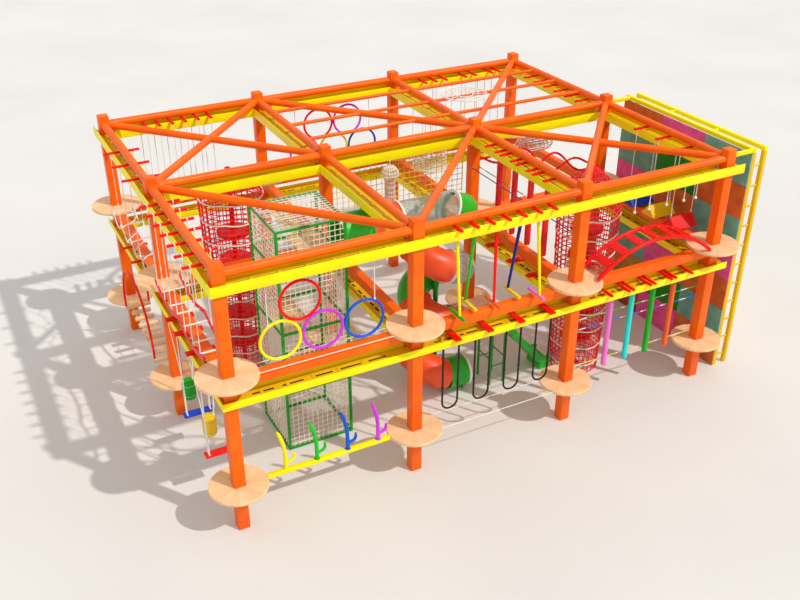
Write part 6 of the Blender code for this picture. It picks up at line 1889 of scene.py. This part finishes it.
@dataclass(frozen=True)
class SwingPoles:
    """Slim poles that lean across the track, each with a foot bar at its lower end."""

    xs: tuple[float, ...] = (4.92, 5.35, 5.85, 6.45, 6.87)
    leans: tuple[float, ...] = (-0.22, 0.30, -0.05, 0.34, -0.26)
    foot_z: float = 3.72
    rod_r: float = 0.038
    tip_r: float = 0.028
    bar_half: float = 0.30
    bar_r: float = 0.03

    def build(self) -> None:
        """Five poles with eyed heads, round noses and rounded foot bars."""
        colours = (YELLOW, LEAF, RED, NAVY, YELLOW)
        slots = ("yellow_steel", "leaf_steel", "red_steel", "navy_steel", "yellow_steel")
        feet = (GREEN_WOOD, YELLOW_WOOD, ORANGE_WOOD, YELLOW_WOOD, PINK_WOOD)
        for index, (x, lean, colour, foot) in enumerate(zip(self.xs, self.leans, colours, feet)):
            head = np.array((x, 0.0, PLAN.high_axis - 0.06))
            end = np.array((x, lean, self.foot_z + self.bar_r))
            share = np.array((0, 0.01, 0.03, 0.5, 0.985, 1.0))
            size = np.array((0.45, 0.85, 1.0, 0.86, self.tip_r / self.rod_r, 0.6))
            piece = Piece(f"swing_pole_{index + 1}_rod", f"swing_pole_{index + 1}")
            piece.add(colour, carry(head + share[:, None] * (end - head), circle(self.rod_r, 16), Y_AXIS, size))
            bar = points((x, lean / 2 - self.bar_half, end[2]))
            piece.add(foot, bars(bar, bar + (0, 2 * self.bar_half, 0),
                                 oblong(2.4 * self.bar_r, 2 * self.bar_r, 0.018, 4), 0.008))
            piece.add(ZINC, shackles(points((x, 0, PLAN.high_axis)), 0.028),
                      hoop((x, 0, PLAN.high_axis - 0.045), 0.018, 0.005, X_AXIS, 20, 8))
            piece.make(slots[index], f"swing_pole_{index + 1}")


@dataclass(frozen=True)
class HangingLogs:
    """Turned upright logs on one rope each, in four bright stains."""

    log_r: float = 0.066
    low: float = 1.17
    high: float = 2.965

    def build(self) -> None:
        """Each log with a chamfer at both ends, a steel eye and its rope."""
        kinds = ((PINK_WOOD, "pink"), (CYAN_WOOD, "cyan"), (GREEN_WOOD, "green"), (ORANGE_WOOD, "orange"))
        for index, (x, (finish, slot)) in enumerate(zip(LOG_XS, kinds)):
            z = np.array((self.low, self.low + 0.012, self.low + 0.09, self.low + 0.096, self.high - 0.096,
                          self.high - 0.09, self.high - 0.012, self.high))
            size = np.array((0.86, 1.0, 1.0, 0.97, 0.97, 1.0, 1.0, 0.86))
            line = np.stack((np.full(8, x), np.zeros(8), z), axis=1)
            piece = Piece(f"hanging_log_{index + 1}_stem", f"hanging_log_{index + 1}")
            piece.add(finish, carry(line, circle(self.log_r, 24), Y_AXIS, size))
            rope = at(x, 0, (self.high - 0.01, PLAN.low_axis - EYE))
            piece.add(WHITE_ROPE, carry(rope, circle(PLAN.rope_r, 8), Y_AXIS),
                      beads(points((x, 0, self.high + 0.03)), 0.022, 10))
            piece.add(ZINC, shackles(points((x, 0, PLAN.low_axis))),
                      bars(points((x, 0, self.high - 0.004)), points((x, 0, self.high + 0.008)),
                           circle(0.03, 16), 0.002))
            piece.make(f"{slot}_wood", f"hanging_log_{index + 1}")


@dataclass(frozen=True)
class HangingPosts:
    """Padded red posts on ropes over the third column's run."""

    radius: float = 0.072
    low: float = 3.76
    high: float = 5.42

    def build(self) -> None:
        """Each post with round ends, seams at three levels, its rope and shackle."""
        z = np.array((0, 0.008, 0.03, 0.28, 0.285, 0.30, 0.305, 0.64, 0.645, 0.66, 0.665, 0.97, 0.992, 1.0))
        size = np.array((0.55, 0.85, 1.0, 1.0, 0.96, 0.96, 1.0, 1.0, 0.96, 0.96, 1.0, 1.0, 0.85, 0.55))
        for index, y in enumerate(BAG_YS):
            line = np.stack((np.full(14, BAG_X), np.full(14, y), self.low + (self.high - self.low) * z), axis=1)
            piece = Piece(f"hanging_post_{index + 1}_stem", f"hanging_post_{index + 1}")
            piece.add(RED_DRUM, carry(line, circle(self.radius, 24), Y_AXIS, size))
            piece.add(WHITE_ROPE, carry(at(BAG_X, y, (self.high - 0.01, PLAN.high_axis - EYE)),
                                        circle(PLAN.rope_r, 8), Y_AXIS))
            piece.add(ZINC, shackles(points((BAG_X, y, PLAN.high_axis))))
            piece.make("red_wood", f"hanging_post_{index + 1}")


@dataclass(frozen=True)
class HangingSteps:
    """Two boards and two barrels, each on a bundle of ropes from one pad."""

    low: float = 1.12
    board_half: float = 0.34
    board_w: float = 0.20
    board_t: float = 0.05
    barrel_r: float = 0.155
    barrel_h: float = 0.48
    rope_half: float = 0.26

    def build(self) -> None:
        """Four steps with their ropes and shackles."""
        axis = PLAN.low_track - PLAN.gap
        kinds = (("board", RED_WOOD, "red_wood"), ("barrel", YELLOW_WOOD, "yellow_wood"),
                 ("board", BLUE_WOOD, "blue_wood"),
                 ("barrel", GREEN_WOOD, "green_wood"))
        for index, (y, (kind, finish, slot)) in enumerate(zip(STEP_YS, kinds)):
            piece = Piece(f"hanging_step_{index + 1}_{kind}", f"hanging_step_{index + 1}")
            board = kind == "board"
            top = self.low + (self.board_t if board else self.barrel_h)
            if board:
                a = points((-self.board_half, y, self.low + self.board_t / 2))
                piece.add(finish, bars(a, a * (-1, 1, 1), oblong(self.board_w, self.board_t, 0.012, 4), 0.008))
            else:
                level = np.array((0, 0.015, 0.08, 0.25, 0.5, 0.75, 0.92, 0.985, 1.0))
                size = np.array((0.80, 0.86, 0.91, 0.98, 1.0, 0.98, 0.91, 0.86, 0.80))
                line = np.stack((0 * level, np.full(9, y), self.low + self.barrel_h * level), axis=1)
                piece.add(finish, carry(line, circle(self.barrel_r, 32), Y_AXIS, size))
                for share in (0.22, 0.78):
                    piece.add(ZINC, hoop((0, y, self.low + self.barrel_h * share), self.barrel_r * 0.965, 0.008, Z_AXIS, 40, 8))
            for side in SIDES:
                tip = np.array((side * self.rope_half, y, axis))
                foot_x = side * (self.rope_half if board else self.barrel_r - 0.045)
                fan = np.array((-0.045, -0.015, 0.015, 0.045)) if board else np.array((-0.02, 0.02))
                for shift in fan:
                    foot = np.array((foot_x, y + shift * 1.5, top - 0.01))
                    head = tip - (0, -shift * 0.15, 0.035)
                    piece.add(WHITE_ROPE, rod(between(head, foot, 7), PLAN.rope_r * 0.8, 8, Y_AXIS))
                    piece.add(WHITE_ROPE, beads(foot[None] + (0, 0, 0.016), 0.018, 8))
                piece.add(ZINC, shackles(tip[None]))
            piece.make(slot, f"hanging_step_{index + 1}")


@dataclass(frozen=True)
class PrismSteps:
    """Triangular prism steps like small tents, on two ropes each."""

    length: float = 0.70
    width: float = 0.56
    height: float = 0.33
    low: float = 3.70

    def build(self) -> None:
        """A rounded triangle carried along the ridge, with its ropes."""
        corners = points((-self.width / 2, 0, 0), (self.width / 2, 0, 0), (0, self.height, 0))
        inner = corners + unit(corners.mean(axis=0) - corners) * 0.04
        ring = smooth_path(np.concatenate((inner, inner[:2])), 0.03, 5)
        profile = ring[1:-1][:, :2]
        axis = PLAN.high_track - PLAN.gap
        kinds = ((RED_WOOD, "red_wood"), (YELLOW_WOOD, "yellow_wood"), (BLUE_WOOD, "blue_wood"))
        for index, (y, (finish, slot)) in enumerate(zip(PRISM_YS, kinds)):
            x = PLAN.length
            piece = Piece(f"prism_step_{index + 1}_block", f"prism_step_{index + 1}")
            base = points((x + self.length / 2, y, self.low), (x - self.length / 2, y, self.low))
            outline = profile * (1.03, 1.05) - (0, 0.004)
            piece.add(finish, bars(base[:1], base[1:], outline))
            for side in SIDES:
                end = x + side * (self.length / 2 - 0.03)
                line = between((end, y, axis - EYE), (end, y, self.low + self.height - 0.06), 9)
                piece.add(WHITE_ROPE, carry(line, circle(PLAN.rope_r, 8), Y_AXIS),
                          beads(points((end, y, self.low + self.height + 0.01)), 0.022, 10))
                piece.add(ZINC, shackles(points((end, y, axis))))
            piece.make(slot, f"prism_step_{index + 1}")


@dataclass(frozen=True)
class Lanyards:
    """Belay trolleys coupled by a bar under the upper track, each with a lanyard and a bead."""

    xs: tuple[float, ...] = (9.45, 9.85, 10.35, 10.85, 11.20)
    length: float = 0.10
    width: float = 0.12
    height: float = 0.05
    drop: float = 0.46
    bead_r: float = 0.035

    def build(self) -> None:
        """Trolleys and coupling bar in one piece; every lanyard is a rope of its own with its bead."""
        low = PLAN.high_axis - self.height
        xs = np.array(self.xs)
        spot = np.stack((xs, 0 * xs, np.full(5, low + self.height / 2)), axis=1)
        piece = Piece("belay_trolleys", Body.LANYARDS.value)
        piece.add(ZINC, bars(spot - (self.length / 2, 0, 0), spot + (self.length / 2, 0, 0),
                             oblong(self.width, self.height, 0.010, 3), 0.006),
                  bars(points((xs[0], 0, low + 0.004)), points((xs[-1], 0, low + 0.004)), oblong(0.03, 0.008, 0.003)))
        piece.make("cream_rope", "belay_lanyards")
        level = np.linspace(-0.97, 0.97, 9)
        for index, x in enumerate(xs):
            z = np.linspace(low, low - self.drop, 16)
            path = np.stack((np.full(16, x), 0 * z, z), axis=1)
            ball = path[-1] + np.stack((0 * level, 0 * level, self.bead_r * (level - 1)), axis=1)
            bead = Piece(f"belay_lanyard_{index + 1}_bead", Body.LANYARDS.value)
            bead.add(WHITE_TUBE, carry(ball, circle(self.bead_r, 18), Y_AXIS, np.sqrt(1 - level ** 2)))
            rope = Piece(f"belay_lanyard_{index + 1}_rope", Body.LANYARDS.value)
            made = rope.add(WHITE_ROPE, carry(path, circle(PLAN.rope_r, 10), Y_AXIS)).make("cream_rope")
            bead.make("cream_rope")


@dataclass(frozen=True)
class Studio:
    """Plain pale floor, soft light and the camera at the photograph's viewpoint."""

    half: float = 150.0
    eye: tuple[float, float, float] = (-10.293, -19.032, 13.850)
    pitch: float = 90 - 29.860
    heading: float = -27.525
    lens: float = 43.10

    def floor(self) -> None:
        """One big square with a faint wash of tone."""
        mesh = bpy.data.meshes.new("studio_floor")
        half = self.half
        corners = [(-half, -half, 0), (half, -half, 0), (half, half, 0), (-half, half, 0)]
        mesh.from_pydata(corners, [], [(0, 1, 2, 3)])
        mesh.materials.append(FLOOR.material())
        floor = bpy.data.objects.new("studio_floor", mesh)
        bpy.context.scene.collection.objects.link(floor)

    def light(self) -> None:
        """A soft key from the front right and an even pale sky."""
        sun = bpy.data.lights.new("studio_key", "SUN")
        sun.energy, sun.angle, sun.color = 2.1, math.radians(1.2), (1.0, 0.98, 0.94)
        key = bpy.data.objects.new("studio_key", sun)
        key.rotation_euler = (math.radians(42), 0.0, math.radians(34.5))
        bpy.context.scene.collection.objects.link(key)
        world = bpy.data.worlds.new("studio_sky")
        world.use_nodes = True
        sky = world.node_tree.nodes["Background"]
        sky.inputs["Color"].default_value = linear("#F4F6FA")
        sky.inputs["Strength"].default_value = 0.78
        bpy.context.scene.world = world

    def camera(self) -> None:
        """The camera, with no shift and no depth of field."""
        lens = bpy.data.cameras.new("studio_camera")
        lens.lens, lens.sensor_width, lens.clip_end = self.lens, 36.0, 400.0
        eye = bpy.data.objects.new("studio_camera", lens)
        eye.location = self.eye
        eye.rotation_euler = Euler((math.radians(self.pitch), 0.0, math.radians(self.heading)))
        bpy.context.scene.collection.objects.link(eye)
        bpy.context.scene.camera = eye

    def build(self) -> None:
        """Floor, light, camera and a plain view transform."""
        self.floor()
        self.light()
        self.camera()
        bpy.context.scene.view_settings.view_transform = "Standard"


def main() -> None:
    """Builds every sub-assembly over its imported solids, then the studio round it."""
    logging.basicConfig(level=logging.INFO, format="%(message)s")
    PostFrame().build()
    UpperDeck().build()
    Tracks().build()
    BalanceBeam().build()
    GuideRopes().build()
    ArchBridge().build()
    PlankBridge().build()
    LadderBridge().build()
    tower = SquareTower()
    tower.frame()
    tower.net()
    for side, centre in (("left", (2.06, 5.60)), ("right", (9.70, 1.85))):
        round_tower = RoundTower(side, centre)
        round_tower.net()
        round_tower.pole()
    slide = Slide()
    slide.crawl()
    slide.spiral()
    Chute().build()
    Nets().build()
    HungBridges().build()
    WaveRails().build()
    ClimbingWall().build()
    hoops = Hoops()
    hoops.build_front()
    hoops.build_rear()
    for group in (FootLoops, SwingPoles, HangingLogs, HangingPosts, HangingSteps, PrismSteps, Lanyards):
        group().build()
    Studio().build()


if __name__ == "__main__":
    main()
